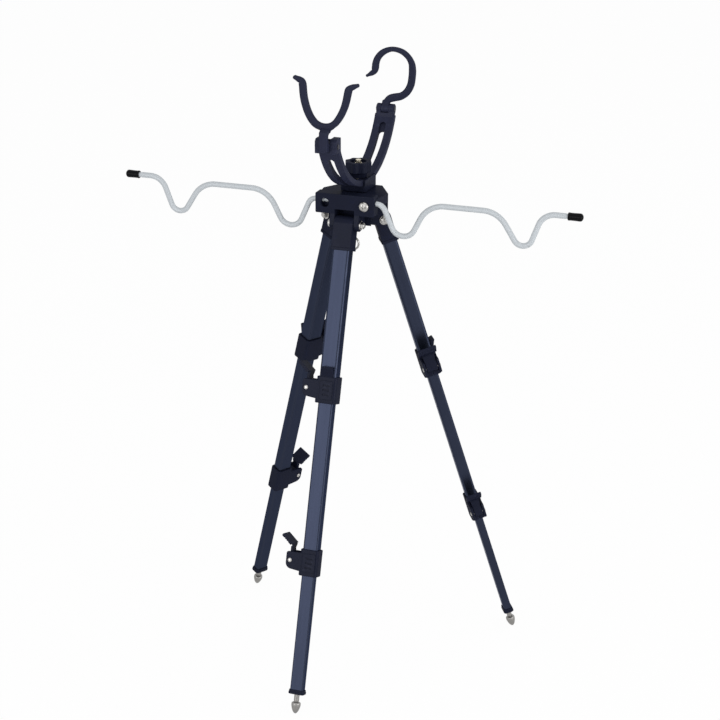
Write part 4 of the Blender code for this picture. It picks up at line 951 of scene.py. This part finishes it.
def lever_mesh(stage, rounding):
    """A lock's lever: a cam between the ears, a thin neck, and above them a wide, ribbed thumb tab."""
    half_depth = lock_sizes(stage)[1]
    width = 2 * (half_depth - LOCK_EAR - RUN)
    tab_width = 2 * half_depth + 0.0010
    nose = LOCK_PIN_OUT - LOCK_WALL - RUN
    base = 0.0038
    elbow = Vector((0.0029, 0.0162))
    tab = Vector((-0.0090, 0.0264)) - elbow
    square = Vector((-tab.y, tab.x)).normalized() * 0.0031

    def on_tab(up, along):
        """A point on the tab, as a share of its thickness from below and of its length from the elbow."""
        return tuple(elbow + square * up + tab * along)

    cam = arc((0, 0), nose, 0.3, -0.3, 6) + [(0.005, -base * 0.7)]
    cam += arc((0, 0), base, -0.35 * math.pi, -1.1 * math.pi, 12)
    cam += [(-base * 0.9, 0.005), (-0.00125, 0.0088), (-0.00125, 0.0132), on_tab(1, 0.08), on_tab(0.8, 0.3)]
    cam += [on_tab(0.2, 0.3), on_tab(0, 0), (0.00145, 0.0118), (0.00225, 0.0072)]
    body = soften(plate([cam], width, FACE), rounding * 0.6, 2)
    thumb = [on_tab(1, 0.14)]
    for k in range(3):
        rib = 0.38 + 0.15 * k
        groove = [on_tab(0.83, rib + 0.025), on_tab(0.83, rib + 0.07)]
        thumb += [on_tab(1, rib), *groove, on_tab(1, rib + 0.095)]
    thumb += [on_tab(1, 0.95), on_tab(0.75, 1), on_tab(0.2, 1), on_tab(0, 0.95), on_tab(0, 0.06)]
    thumb = soften(plate([thumb], tab_width, FACE), rounding, 2, 50)
    bore = rod(LOCK_PIN_RADIUS + RUN, width + 2 * SPARE, "-Y")
    return shaded(combine(body, joined=[thumb], cut=[bore]))


def pin_mesh(half_length, radius, head_radius, axis):
    """A riveted pin: a domed head at one end and a peened, dimpled one at the other."""
    reach = half_length + SEAT
    high = 0.0008
    domed = ((0, 1), (0.45, 0.95), (0.8, 0.75), (1, 0.35), (1, 0))
    peened = ((1, 0), (1, 0.6), (0.85, 1), (0.4, 1), (0.25, 0.55), (0, 0.45))
    profile = [(head_radius * out, reach + high * up) for out, up in domed]
    profile += [(radius, reach), (radius, -reach)]
    profile += [(head_radius * out, -reach - high * down) for out, down in peened]
    return shaded(turned(profile, axis, 24), 40)


# Head


def head_mesh(rounding):
    """The moulded head: a top plate, a bar across the front and three forked sockets for the leg caps."""
    stop = CAP_HALF_DEPTH * (math.cos(LEG_SPREAD) + math.sin(LEG_SPREAD))
    back = PIVOT_RADIUS - stop - RUN
    cheek_x = 0.0346
    third = math.sin(math.pi / 3)
    far = (HEAD_FACE * third - EAR_OUTER * 0.5, HEAD_FACE * 0.5 + EAR_OUTER * third)
    near_y = HEAD_FACE * 0.5 - EAR_OUTER * third
    plan = [(-BAR_HALF, -HEAD_FACE + 0.001), (BAR_HALF, -HEAD_FACE + 0.001), (cheek_x, near_y)]
    plan += [far, (-far[0], far[1]), (-cheek_x, near_y)]
    thickness = 0.0095
    top = moved(soften(plate([plan], thickness), rounding), (0, 0, HEAD_TOP - thickness / 2))
    bar = plate([rounded_rectangle(2 * BAR_HALF, BAR_TOP - BAR_BOTTOM, 0.0012)], BAR_DEPTH, FACE)
    bar = moved(soften(bar, rounding), (0, BAR_Y, (BAR_TOP + BAR_BOTTOM) / 2))
    core_height = HEAD_TOP - HEAD_CORE_BOTTOM - 0.001
    core = plate([circle(back * 1.55, 3, turn=math.pi / 2)], core_height)
    core = moved(core, (0, 0, HEAD_CORE_BOTTOM + core_height / 2))
    inner = -back + 0.006
    lug = [(inner, HEAD_TOP - 0.001), (-HEAD_FACE, HEAD_TOP - 0.001), (-HEAD_FACE, BAR_BOTTOM)]
    lug += [*arc((-PIVOT_RADIUS, 0), 0.0065, math.pi, 1.5 * math.pi, 14), (inner, HEAD_CORE_BOTTOM)]
    lug = soften(plate([lug], 2 * EAR_OUTER, SIDE), rounding)
    reach = 0.03
    roof = 0.0155
    slot = block((2 * SOCKET_HALF, reach, roof + reach), (0, -back - reach / 2, (roof - reach) / 2))
    bore = rod(BOLT_RADIUS + SEAT, 2 * EAR_OUTER + 0.004, "X", (0, -PIVOT_RADIUS, 0))
    lugs, cuts = [], []
    for turn in (0, 120, 240):
        spin = Matrix.Rotation(math.radians(turn), 4, "Z")
        lugs.append(moved(lug, turn=spin))
        cuts += [moved(slot, turn=spin), moved(bore, turn=spin)]
    front_half = BAR_DEPTH / 2 + 0.002
    front_y = -HEAD_FACE + BAR_DEPTH / 4 - 0.001
    cuts += [
        rod(WIRE_RADIUS + RUN, 2 * BAR_HALF + 0.01, "X", (0, BAR_Y, WIRE_HEIGHT)),
        rod(0.0025, front_half, "-Y", (CLAMP_SCREW_X, front_y, CLAMP_SCREW_Z)),
        rod(0.0045, front_half, "-Y", (-CLAMP_SCREW_X, front_y, 0.0212)),
        rod(CENTRE_BOLT_RADIUS + RUN, 0.08, "Z", (0, HOLDER_Y, HEAD_TOP - 0.02)),
        rod(0.007, 0.04, "Z", (0, HOLDER_Y, NUT_SEAT - 0.02)),
        rod(0.0013, 0.014, "Z", (0, WEIGHT_HOOK_Y, HEAD_CORE_BOTTOM), sides=16),
    ]
    return shaded(combine(core, joined=[top, bar, *lugs], cut=cuts))


def clamp_screw_mesh(sides):
    """The pan-head screw that pinches the right-hand wire, its head against the bar's front at y = 0."""
    length = HEAD_FACE + BAR_Y - WIRE_RADIUS - SEAT
    top = SEAT + 0.0032
    head, shank = 0.005, 0.0023
    profile = [(0, top), *dome(head, SEAT + 0.0009, 0.0023, PAN_HEAD)]
    profile += [(head, SEAT + 0.0008), (head, SEAT), (shank, SEAT), (shank, -length), (0, -length)]
    screw = combine(turned(profile, sides=sides), cut=cross_recess(0.0031, 0.0011, 0.0017, top))
    return moved(shaded(screw, 35), turn=LAY["-Y"])


def weight_hook_mesh():
    """The small open steel hook under the head."""
    centre = -0.0215
    radius = 0.0065
    path = [(0, 0, 0.0065), (0, 0, centre + radius + 0.0034), (0.0003, 0, centre + radius + 0.0016)]
    path += [(x, 0, z) for x, z in arc((0, centre), radius, 0.40 * math.pi, -1.1 * math.pi, 40)]
    return swept(path, 0.0011, 16)


# Wire arms


def wire_mesh(side):
    """One wire arm: a straight end in the bar, two dips that hold rods, and a tip, coated in between."""
    coating, coated_from, coated_to, ramp = 0.13, 0.0335, 0.2264, 0.003
    corners = [
        (0.008, WIRE_HEIGHT, 0),
        (0.0379, WIRE_HEIGHT, 0.0104),
        (0.0515, -0.0073, 0.0126),
        (0.0677, -0.0073, 0.0126),
        (0.0852, 0.0272, 0.028),
        (0.1572, 0.0272, 0.027),
        (0.1770, -0.0045, 0.0098),
        (0.1893, -0.0045, 0.0098),
        (0.2023, WIRE_END_RISE, 0.018),
        (WIRE_END, WIRE_END_RISE, 0),
    ]
    path = rounded_path(corners, 16)[:-1]
    path += [(x, WIRE_END_RISE) for x in (coated_to - ramp, coated_to, WIRE_END)]
    gains = []
    for x, _ in path:
        share = min(1, (x - coated_from) / ramp, (coated_to - x) / ramp)
        gains.append(1 + coating * max(0, share))
    return swept([(side * x, 0, z - WIRE_HEIGHT) for x, z in path], WIRE_RADIUS, 24, gains)


def tip_mesh(side, sides):
    """The dipped cap on a wire's end, with a rolled lip at its mouth at x = 0."""
    bore = WIRE_RADIUS + SEAT
    floor = TIP_LENGTH - TIP_END
    profile = [(0, TIP_LENGTH), *dome(TIP_RADIUS, floor, TIP_END, (0.4, 0.75, 1.05, 1.3))]
    profile += [(TIP_RADIUS, TIP_LENGTH - 0.0032), (TIP_RADIUS * 0.955, 0.0060), (TIP_RADIUS * 0.95, 0.0022)]
    profile += [(TIP_RADIUS, 0.0013), (TIP_RADIUS, 0.0004), (TIP_RADIUS - 0.0003, 0.0)]
    profile += [(bore, 0), (bore, floor), (0, floor)]
    return shaded(turned(profile, "X" if side > 0 else "-X", sides), 55)


# Rocking holder


def sector(inner, outer, start, end, steps):
    """An arc-shaped outline in Y and Z about the arc's centre. Angles count from its lowest point."""
    start, end = start - math.pi / 2, end - math.pi / 2
    return arc((0, 0), outer, start, end, steps) + arc((0, 0), inner, end, start, steps)


def slot_cutters(start, end, inner, outer):
    """Cutters for a round-ended slot along the bow, between two angles and two radii."""
    tail = SLOT_WIDTH / 2 / ARC_RADIUS
    start, end = start + tail, end - tail
    cutters = [plate([sector(inner, outer, start, end, 48)], SLOT_WIDTH, SIDE)]
    round_end = rod(SLOT_WIDTH / 2, outer - inner, centre=(0, 0, -(inner + outer) / 2))
    for angle in (start, end):
        cutters.append(moved(round_end, turn=Matrix.Rotation(angle, 4, "X")))
    return cutters


def bow_mesh(rounding):
    """The slotted bow, with a block clevis in front and a lug clevis behind, about the arc's centre."""
    front_end = Vector((0, -ARC_RADIUS * math.sin(ARC_HALF), -ARC_RADIUS * math.cos(ARC_HALF)))
    rear_end = Vector((0, -front_end.y, front_end.z))
    strap = plate([sector(STRAP_INNER, STRAP_OUTER, -ARC_HALF, ARC_HALF, 72)], STRAP_WIDTH, SIDE)
    strap = soften(strap, rounding)
    front = front_end.y - 0.0112
    bottom = front_end.z - 0.001
    back, top = front + 0.0135, bottom + 0.0145
    clevis = [(front, bottom), (back, bottom), (back, top), (front + 0.0025, top), (front, bottom + 0.0120)]
    clevis = soften(plate([clevis], CLEVIS_WIDTH, SIDE), rounding)
    hinge = rear_end + Vector((0, 0.0014, 0.0058))
    tangent = Vector((math.cos(ARC_HALF), math.sin(ARC_HALF)))
    square = Vector((-tangent.y, tangent.x))
    root = Vector((rear_end.y, rear_end.z)) - tangent * 0.004
    lug = arc((hinge.y, hinge.z), 0.0052, math.radians(-27), math.radians(207), 24)
    lug += [tuple(root + square * STRAP_THICKNESS / 2), tuple(root - square * STRAP_THICKNESS / 2)]
    lug = soften(plate([lug], LUG_WIDTH, SIDE), rounding)
    gap = KNUCKLE_WIDTH + 2 * RUN
    clear = KNUCKLE_RADIUS + RUN
    cradle = Vector((0, front + clear, bottom + 0.0068))
    slot_front, slot_rear, pocket = math.radians(57), math.radians(51.5), math.radians(5.5)
    lap = 0.12
    cuts = slot_cutters(-slot_front, slot_rear, STRAP_INNER - 0.004, STRAP_OUTER + 0.004)
    cuts += slot_cutters(-slot_front - pocket, -slot_front + lap, STRAP_INNER - 0.003, ARC_RADIUS)
    cuts += slot_cutters(slot_rear - lap, slot_rear + pocket, STRAP_INNER - 0.003, ARC_RADIUS)
    cuts += [
        block((gap, 2 * clear, 0.04), (0, cradle.y, cradle.z + 0.02 - clear)),
        block((gap, clear + 0.002, 0.04), (0, cradle.y - clear / 2 - 0.001, cradle.z)),
        block((gap, 0.02, 0.02), (0, cradle.y + 0.01, cradle.z + clear + RUN + 0.01)),
        rod(clear, gap, "X", (0, hinge.y, hinge.z)),
        block((gap, 0.0124, 0.02), (0, hinge.y, hinge.z + 0.01 - 0.0036)),
        rod(HINGE_PIN_RADIUS + SEAT, 0.026, "X", (0, cradle.y, cradle.z), sides=20),
        rod(HINGE_PIN_RADIUS + SEAT, 0.026, "X", (0, hinge.y, hinge.z), sides=20),
    ]
    return shaded(combine(strap, joined=[clevis, lug], cut=cuts))


def saddle_mesh(rounding):
    """The turning seat under the bow, about the arc's centre, with a cheek on each side of it."""
    bottom = HEAD_TOP + RUN - ARC_CENTRE
    height = SADDLE_TOP - HEAD_TOP - RUN
    body = soften(block((0.0262, 0.032, height), (0, 0, bottom + height / 2)), rounding)
    channel = sector(STRAP_INNER - 0.01, STRAP_OUTER + RUN, -0.35, 0.35, 40)
    channel = plate([channel], STRAP_WIDTH + 2 * RUN, SIDE)
    bore = rod(CENTRE_BOLT_RADIUS + RUN, 0.04, centre=(0, 0, bottom))
    return shaded(combine(body, cut=[channel, bore]))


def knob_mesh(rounding, sides):
    """The lobed clamp knob, with its recess for the bolt's head, about its turning axis."""
    hub_radius = 0.0085
    rise = STRAP_INNER - math.sqrt(STRAP_INNER**2 - hub_radius**2)
    bottom = ARC_BOTTOM + STRAP_THICKNESS / 2 + rise + RUN
    radius, lobe, lobes, points = 0.0138, 0.0009, 8, 96
    rim = []
    for k in range(points):
        turn = 2 * math.pi * k / points
        out = radius - lobe + lobe * math.cos(lobes * turn)
        rim.append((out * math.cos(turn), out * math.sin(turn)))
    grip_height = 0.0105
    under = KNOB_TOP - grip_height
    floor = KNOB_TOP - KNOB_RECESS
    bore = CENTRE_BOLT_RADIUS + SEAT
    lap = KNOB_RECESS_RADIUS + 0.001
    grip = plate([rim, circle(KNOB_RECESS_RADIUS, sides)], grip_height)
    grip = moved(soften(grip, rounding), (0, 0, KNOB_TOP - grip_height / 2))
    profile = [(lap, floor), (lap, under), (0.0110, under - RUN), (0.0098, under - 0.0012)]
    profile += [(hub_radius, under - 0.003), (hub_radius, bottom), (bore, bottom), (bore, floor)]
    return shaded(combine(grip, joined=[turned(profile, sides=sides)]))


def clamp_bolt_mesh(rounding, sides):
    """The bolt in the knob: a hex collar in the recess, a stud above it, and the thread down to the nut."""
    seat = KNOB_TOP - KNOB_RECESS + SEAT
    nut_top = NUT_SEAT - SEAT
    end = nut_top - 0.0062
    crown = KNOB_TOP + 0.0016
    stud = 0.0027
    shank = CENTRE_BOLT_RADIUS
    profile = [(0, crown), (0.0024, crown), (stud, crown - 0.0003), (stud, seat + 0.0012)]
    profile += [(shank, seat + 0.0005), (shank, nut_top + 0.001)]
    profile += thread(shank - 0.0003, shank, nut_top, 0.0006, 10)
    profile += [(shank - 0.0005, end), (0, end)]
    collar_height, nut_height = 0.0014, 0.0042
    collar = moved(hex_block(0.0042, collar_height, rounding), (0, 0, seat + collar_height / 2))
    nut = moved(hex_block(0.0056, nut_height, rounding), (0, 0, nut_top - nut_height / 2))
    return shaded(combine(turned(profile, sides=sides), joined=[collar, nut]), 35)


# Rod rests


def hinged(bar, joined):
    """A rest's bar with what joins it to its knuckle, and the hinge pin's bore through that."""
    knuckle = rod(KNUCKLE_RADIUS, KNUCKLE_WIDTH, "X")
    bore = rod(HINGE_PIN_RADIUS + RUN, KNUCKLE_WIDTH + 2 * SPARE, "X", sides=20)
    return shaded(combine(bar, joined=[*joined, knuckle], cut=[bore]))


def cradle_mesh(rounding):
    """The U-shaped front rest with flared lips, about its hinge pin."""
    base = 0.0193
    plane = 0.0031
    points = [(-31.4, 65.7), (-27.6, 64.1), (-24.5, 62.4), (-23.4, 58.6), (-23.0, 52.8), (-22.2, 46.4)]
    points += [(-20.8, 40.4), (-18.6, 33.8), (-15.3, 27.5), (-11.2, 22.6), (-6.3, 20.0), (-0.8, 19.3)]
    points += [(4.4, 20.4), (8.9, 23.3), (12.6, 27.6), (16.1, 33.4), (19.1, 40.2), (21.1, 47.0)]
    points += [(22.5, 53.6), (23.6, 57.4), (25.6, 59.3), (28.8, 60.7), (32.2, 62.0)]
    stops = [(0, 0.0038), (0.045, 0.0056), (0.09, 0.0073), (0.4, 0.0073), (0.5, 0.0070), (0.6, 0.0067)]
    stops += [(0.72, 0.0069), (0.91, 0.0073), (0.955, 0.0056), (1, 0.0038)]
    fork = moved(moulded_bar(flowing(points), stops, 0.0056, rounding), (0, -plane, 0))
    front = -0.0118
    rear = front + 0.005
    fork_rear, fork_front = -plane + 0.0024, -plane - 0.0024
    stem = [(rear, KNUCKLE_RADIUS - 0.0006), (rear, base - 0.0072), (fork_rear, base - 0.0046)]
    stem += [(fork_rear, base - 0.0005), (fork_front, base - 0.0005), (front, base - 0.0036)]
    stem += [(front, -KNUCKLE_RADIUS + 0.0012), (front + 0.0012, -KNUCKLE_RADIUS)]
    stem += [(-0.001, -KNUCKLE_RADIUS + 0.0006), (-0.001, KNUCKLE_RADIUS - 0.0006)]
    stem = soften(plate([stem], 0.0084, SIDE), 0.0009, 3, 30)
    root = [(-0.0040, base - 0.0060), (0.0040, base - 0.0060), (0.0046, base - 0.0036)]
    root += [(0.0086, base - 0.0008), (0.0050, base + 0.0020), (-0.0064, base + 0.0020)]
    root += [(-0.0102, base - 0.0008), (-0.0050, base - 0.0036)]
    root = moved(soften(plate([root], 0.0046, FACE), 0.0009, 3, 30), (0, -plane, 0))
    return hinged(fork, [stem, root])


def hook_mesh(rounding):
    """The open hook that holds a rod's butt down, about its hinge pin."""
    thickness = 0.0054
    points = [(-20.4, 33.1), (-15.7, 35.8), (-12.8, 38.1), (-11.8, 41.8), (-11.2, 46.6), (-9.3, 51.9)]
    points += [(-5.5, 56.7), (-0.3, 60.2), (6.0, 62.2), (12.5, 61.8), (18.8, 59.5), (24.3, 54.8)]
    points += [(27.6, 48.8), (28.5, 42.0), (28.1, 34.2), (26.6, 26.0), (22.6, 18.9), (16.6, 14.2)]
    points += [(9.2, 12.2), (4.4, 10.6), (1.2, 7.6), (0.0, 4.4), (0.0, 1.2)]
    stops = [(0, 0.0030), (0.05, 0.0056), (0.10, 0.0073), (0.22, 0.0066), (0.34, 0.0049), (0.46, 0.0056)]
    stops += [(0.60, 0.0074), (0.78, 0.0076), (0.90, 0.0082), (0.96, 0.0070), (1, 0.0060)]
    half = KNUCKLE_WIDTH / 2
    root = [(-half, 0), (half, 0), (half, 0.0045), (0.0046, 0.0090), (-0.0034, 0.0090), (-half, 0.005)]
    root = soften(plate([root], thickness, FACE), 0.0009, 3, 30)
    return hinged(moulded_bar(flowing(points), stops, thickness, rounding), [root])


# Operators


class PieceOperator:
    """What every operator that makes pieces shares."""

    bl_options = {"REGISTER", "UNDO"}

    @property
    def edges(self):
        return bpy.context.scene.tripod_edges


class TRIPOD_OT_tubes(PieceOperator, bpy.types.Operator):
    """Make the three drawn tubes of each leg, and finish the guide plugs inside them"""

    bl_idname = "tripod.tubes"
    bl_label = "Leg Tubes"

    def execute(self, context):
        for stage, label in enumerate(STAGES):
            tube = tube_mesh(stage)
            for leg in LEGS:
                node = f"{leg}_{label}_tube"
                dress(f"tube_{leg}_{label}", tube, leg_axes(leg), node, finish("blue_anodised"))
        for leg in LEGS:
            for label in STAGES[1:]:
                plug = frame["nodes"][f"{leg}_{label}_tube_bush"]
                plug.data.materials.clear()
                plug.data.materials.append(finish("grey_bush")[0])
        return {"FINISHED"}


class TRIPOD_OT_caps(PieceOperator, bpy.types.Operator):
    """Make the moulded cap on each leg and the bolt that it turns on"""

    bl_idname = "tripod.caps"
    bl_label = "Leg Caps and Bolts"

    def execute(self, context):
        cap = leg_cap_mesh(self.edges.cap)
        bolt = pivot_bolt_mesh(self.edges.metal, self.edges.turned_sides)
        for leg in LEGS:
            dress(f"cap_{leg}", cap, leg_axes(leg), f"{leg}_leg_cap", finish("black_plastic"))
            dress(f"bolt_{leg}", bolt, bolt_axes(leg), f"{leg}_pivot_bolt", finish("nickel_steel"))
        return {"FINISHED"}


class TRIPOD_OT_locks(PieceOperator, bpy.types.Operator):
    """Make the two flip locks of each leg, with their levers and pins"""

    bl_idname = "tripod.locks"
    bl_label = "Flip Locks"

    def execute(self, context):
        for stage, label in enumerate(LOCKS):
            lock = lock_mesh(stage, self.edges.lock)
            lever = lever_mesh(stage, self.edges.lock)
            half_length = lock_sizes(stage)[1] - LOCK_PIN_SUNK
            pin = pin_mesh(half_length, LOCK_PIN_RADIUS, LOCK_PIN_HEAD, "-Y")
            for leg in LEGS:
                turn = leg_axes(leg)
                hinge = turn.copy()
                hinge.translation = joint_point(f"{leg}_{label}_lever_flip")
                seat = turn @ at(0, 0, -LOCK_ENDS[stage] + LOCK_HEIGHT)
                dress(f"lock_{leg}_{label}", lock, seat, f"{leg}_{label}_lock", finish("black_plastic"))
                dress(f"lever_{leg}_{label}", lever, hinge, f"{leg}_{label}_lever", finish("black_plastic"))
                dress(f"pin_{leg}_{label}", pin, hinge, f"{leg}_{label}_lever_pin", finish("nickel_steel"))
        return {"FINISHED"}


class TRIPOD_OT_feet(PieceOperator, bpy.types.Operator):
    """Make the moulded plug and the screw-in spike under each leg"""

    bl_idname = "tripod.feet"
    bl_label = "Feet and Spikes"

    def execute(self, context):
        foot = foot_mesh(self.edges.lock)
        spike = spike_mesh(self.edges.turned_sides)
        for leg in LEGS:
            turn = leg_axes(leg)
            top = turn @ at(0, 0, -FOOT_TOP)
            shoulder = turn @ at(0, 0, -FOOT_TOP - FOOT_HEIGHT)
            dress(f"foot_{leg}", foot, top, f"{leg}_foot", finish("black_plastic"))
            dress(f"spike_{leg}", spike, shoulder, f"{leg}_spike", finish("nickel_steel", "darker_rougher"))
        return {"FINISHED"}


class TRIPOD_OT_head(PieceOperator, bpy.types.Operator):
    """Make the head block with its clamp screw and the hook for a steadying weight"""

    bl_idname = "tripod.head"
    bl_label = "Head Block"

    def execute(self, context):
        screw_place = HEAD @ at(CLAMP_SCREW_X, -HEAD_FACE, CLAMP_SCREW_Z)
        hook_place = HEAD @ at(0, WEIGHT_HOOK_Y, HEAD_CORE_BOTTOM)
        screw = clamp_screw_mesh(self.edges.turned_sides)
        dress("head_moulding", head_mesh(self.edges.head), HEAD, "head_block", finish("black_plastic"))
        dress("wire_clamp_screw", screw, screw_place, "clamp_screw", finish("nickel_steel"))
        dress("bag_hook", weight_hook_mesh(), hook_place, "weight_hook", finish("nickel_steel"))
        return {"FINISHED"}


class TRIPOD_OT_wires(PieceOperator, bpy.types.Operator):
    """Make the two bent wire arms and the dipped caps on their ends"""

    bl_idname = "tripod.wires"
    bl_label = "Wire Arms"

    def execute(self, context):
        for name, side in (("left", -1), ("right", 1)):
            bore = Matrix.Translation(joint_point(f"{name}_wire_turn"))
            mouth = side * (WIRE_END - TIP_LENGTH + TIP_END + SEAT)
            tip_place = bore @ at(mouth, 0, WIRE_END_RISE - WIRE_HEIGHT)
            tip = tip_mesh(side, self.edges.turned_sides)
            dress(f"wire_{name}", wire_mesh(side), bore, f"{name}_wire_arm", finish("white_wire"))
            dress(f"tip_{name}", tip, tip_place, f"{name}_wire_tip", finish("soft_cap"))
        return {"FINISHED"}


class TRIPOD_OT_bow(PieceOperator, bpy.types.Operator):
    """Make the rocking bow, the saddle that it rocks in, and its clamp knob and bolt"""

    bl_idname = "tripod.bow"
    bl_label = "Rocking Bow"

    def execute(self, context):
        centre = Matrix.Translation(joint_point("rocker_tilt"))
        axis = Matrix.Translation(joint_point("holder_swivel"))
        sides = self.edges.turned_sides
        dress("bow", bow_mesh(self.edges.bow), centre, "rocker_strap", finish("black_plastic", "satin_painted_lighter"))
        dress("bow_seat", saddle_mesh(self.edges.head), centre, "saddle", finish("black_plastic"))
        dress("knob", knob_mesh(self.edges.bow, sides), axis, "clamp_knob", finish("black_plastic"))
        dress("knob_bolt", clamp_bolt_mesh(self.edges.metal, sides), axis, "clamp_bolt", finish("brass"))
        return {"FINISHED"}


class TRIPOD_OT_rests(PieceOperator, bpy.types.Operator):
    """Make the front cradle and the rear hook that hold the rod, with their hinge pins"""

    bl_idname = "tripod.rests"
    bl_label = "Rod Rests"

    def execute(self, context):
        for name, make, width in (("cradle", cradle_mesh, CLEVIS_WIDTH), ("hook", hook_mesh, LUG_WIDTH)):
            hinge = Matrix.Translation(joint_point(f"{name}_fold"))
            rest = make(self.edges.rest)
            pin = pin_mesh(width / 2, HINGE_PIN_RADIUS, HINGE_PIN_HEAD, "X")
            dress(f"{name}_rest", rest, hinge, f"rod_{name}", finish("black_plastic", "satin_painted_lighter"))
            dress(f"{name}_hinge_pin", pin, hinge, f"{name}_pin", finish("nickel_steel", "dark"))
        return {"FINISHED"}


# Stage


def soft_light(name, place, target, size, power):
    light = bpy.data.lights.new(name, "AREA")
    light.shape = "RECTANGLE"
    light.size, light.size_y = size
    light.energy = power
    holder = placed(name, light)
    holder.location = place
    holder.rotation_euler = (Vector(target) - Vector(place)).to_track_quat("-Z", "Y").to_euler()
    holder.visible_camera = False


def seen_directly(made):
    """1 for a ray from the camera, a mirror or glass, and 0 for the light that falls on things."""
    kinds = ("Camera", "Glossy", "Transmission")
    camera, mirror, glass = (made.node("ShaderNodeLightPath", output=f"Is {kind} Ray") for kind in kinds)
    return camera.larger(mirror).larger(glass)


def floor_finish():
    """Pale paper. It keeps the tripod's shadow, and looks white in the picture and in reflections."""
    made = Recipe(bpy.data.materials.new("pale_paper"))
    fibre = made.clouds(700, 2, 0.6)
    color = made.blend(fibre, (0.86, 0.86, 0.86, 1), (0.9, 0.9, 0.9, 1))
    paper = made.principled(Base_Color=color, Roughness=0.9, Specular_Ior_Level=0.1)
    glow = made.node("ShaderNodeEmission", None, Color=(1, 1, 1, 1), Strength=1.0)
    return made.ended(made.node("ShaderNodeMixShader", None, seen_directly(made) * 0.96, paper, glow))


def surroundings(ambient):
    """A world that lights the tripod from all round, and looks white in the picture and in reflections."""
    made = Recipe(bpy.data.worlds.new("surroundings"))
    strength = seen_directly(made) * (1 - ambient) + ambient
    light = made.node("ShaderNodeBackground", None, Color=(1, 1, 1, 1), Strength=strength)
    return made.ended(light, "World")


class TRIPOD_OT_stage(bpy.types.Operator):
    """Make the pale floor, the soft lights, the white surroundings and the camera"""

    bl_idname = "tripod.stage"
    bl_label = "Stage"
    bl_options = {"REGISTER", "UNDO"}

    def execute(self, context):
        scene = context.scene
        stage = scene.tripod_stage
        shape = bmesh.new()
        bmesh.ops.create_circle(shape, cap_ends=True, segments=96, radius=14)
        mesh = meshed(shape, "floor")
        mesh.materials.append(floor_finish())
        floor = placed("floor", mesh)
        floor.location = (0, 0, -0.0004)

        middle = (0, HEAD.translation.y, 0.32)
        soft_light("key_light", (-0.95, -2.60, 0.95), middle, (1.8, 1.5), stage.key_power)
        soft_light("top_light", (0.3, -0.4, 2.4), middle, (1.8, 1.8), stage.top_power)
        soft_light("rear_light", (1.6, 1.9, 1.3), middle, (1.2, 1.2), stage.rim_power)
        soft_light("side_light", (2.0, -0.65, 0.62), middle, (1.9, 1.1), stage.side_power)
        scene.world = surroundings(stage.ambient)

        camera = bpy.data.cameras.new("camera")
        camera.sensor_width = 36
        camera.lens = stage.camera_lens
        camera.shift_x = stage.camera_shift
        holder = placed("camera", camera)
        turn, away = stage.camera_azimuth, stage.camera_distance
        along_y = HEAD.translation.y - away * math.cos(turn)
        holder.location = (away * math.sin(turn), along_y, stage.camera_height)
        holder.rotation_euler = (math.pi / 2 - stage.camera_pitch, 0, turn)
        scene.camera = holder
        scene.view_settings.view_transform = "Standard"
        return {"FINISHED"}


# Sidebar

PIECE_OPERATORS = (
    TRIPOD_OT_tubes,
    TRIPOD_OT_caps,
    TRIPOD_OT_locks,
    TRIPOD_OT_feet,
    TRIPOD_OT_head,
    TRIPOD_OT_wires,
    TRIPOD_OT_bow,
    TRIPOD_OT_rests,
)
SETTINGS = (("tripod_colours", TripodColours), ("tripod_edges", TripodEdges), ("tripod_stage", TripodStage))


class TRIPOD_PT_panel(bpy.types.Panel):
    """The tripod's settings, and one button for each group of its pieces"""

    bl_idname = "TRIPOD_PT_panel"
    bl_label = "Rod Tripod"
    bl_space_type = "VIEW_3D"
    bl_region_type = "UI"
    bl_category = "Rod Tripod"

    def draw(self, context):
        for key, group in SETTINGS:
            box = self.layout.box()
            settings = getattr(context.scene, key)
            for name in group.__annotations__:
                box.prop(settings, name)
        column = self.layout.column(align=True)
        for operator in (*PIECE_OPERATORS, TRIPOD_OT_stage):
            column.operator(operator.bl_idname)


CLASSES = (*(group for _, group in SETTINGS), *PIECE_OPERATORS, TRIPOD_OT_stage, TRIPOD_PT_panel)


def register():
    for kind in CLASSES:
        bpy.utils.register_class(kind)
    for key, group in SETTINGS:
        setattr(bpy.types.Scene, key, PointerProperty(type=group))


def unregister():
    for key, _ in SETTINGS:
        delattr(bpy.types.Scene, key)
    for kind in reversed(CLASSES):
        bpy.utils.unregister_class(kind)


def main():
    register()
    bpy.ops.tripod.tubes()
    bpy.ops.tripod.caps()
    bpy.ops.tripod.locks()
    bpy.ops.tripod.feet()
    bpy.ops.tripod.head()
    bpy.ops.tripod.wires()
    bpy.ops.tripod.bow()
    bpy.ops.tripod.rests()
    bpy.ops.tripod.stage()


if __name__ == "__main__":
    main()
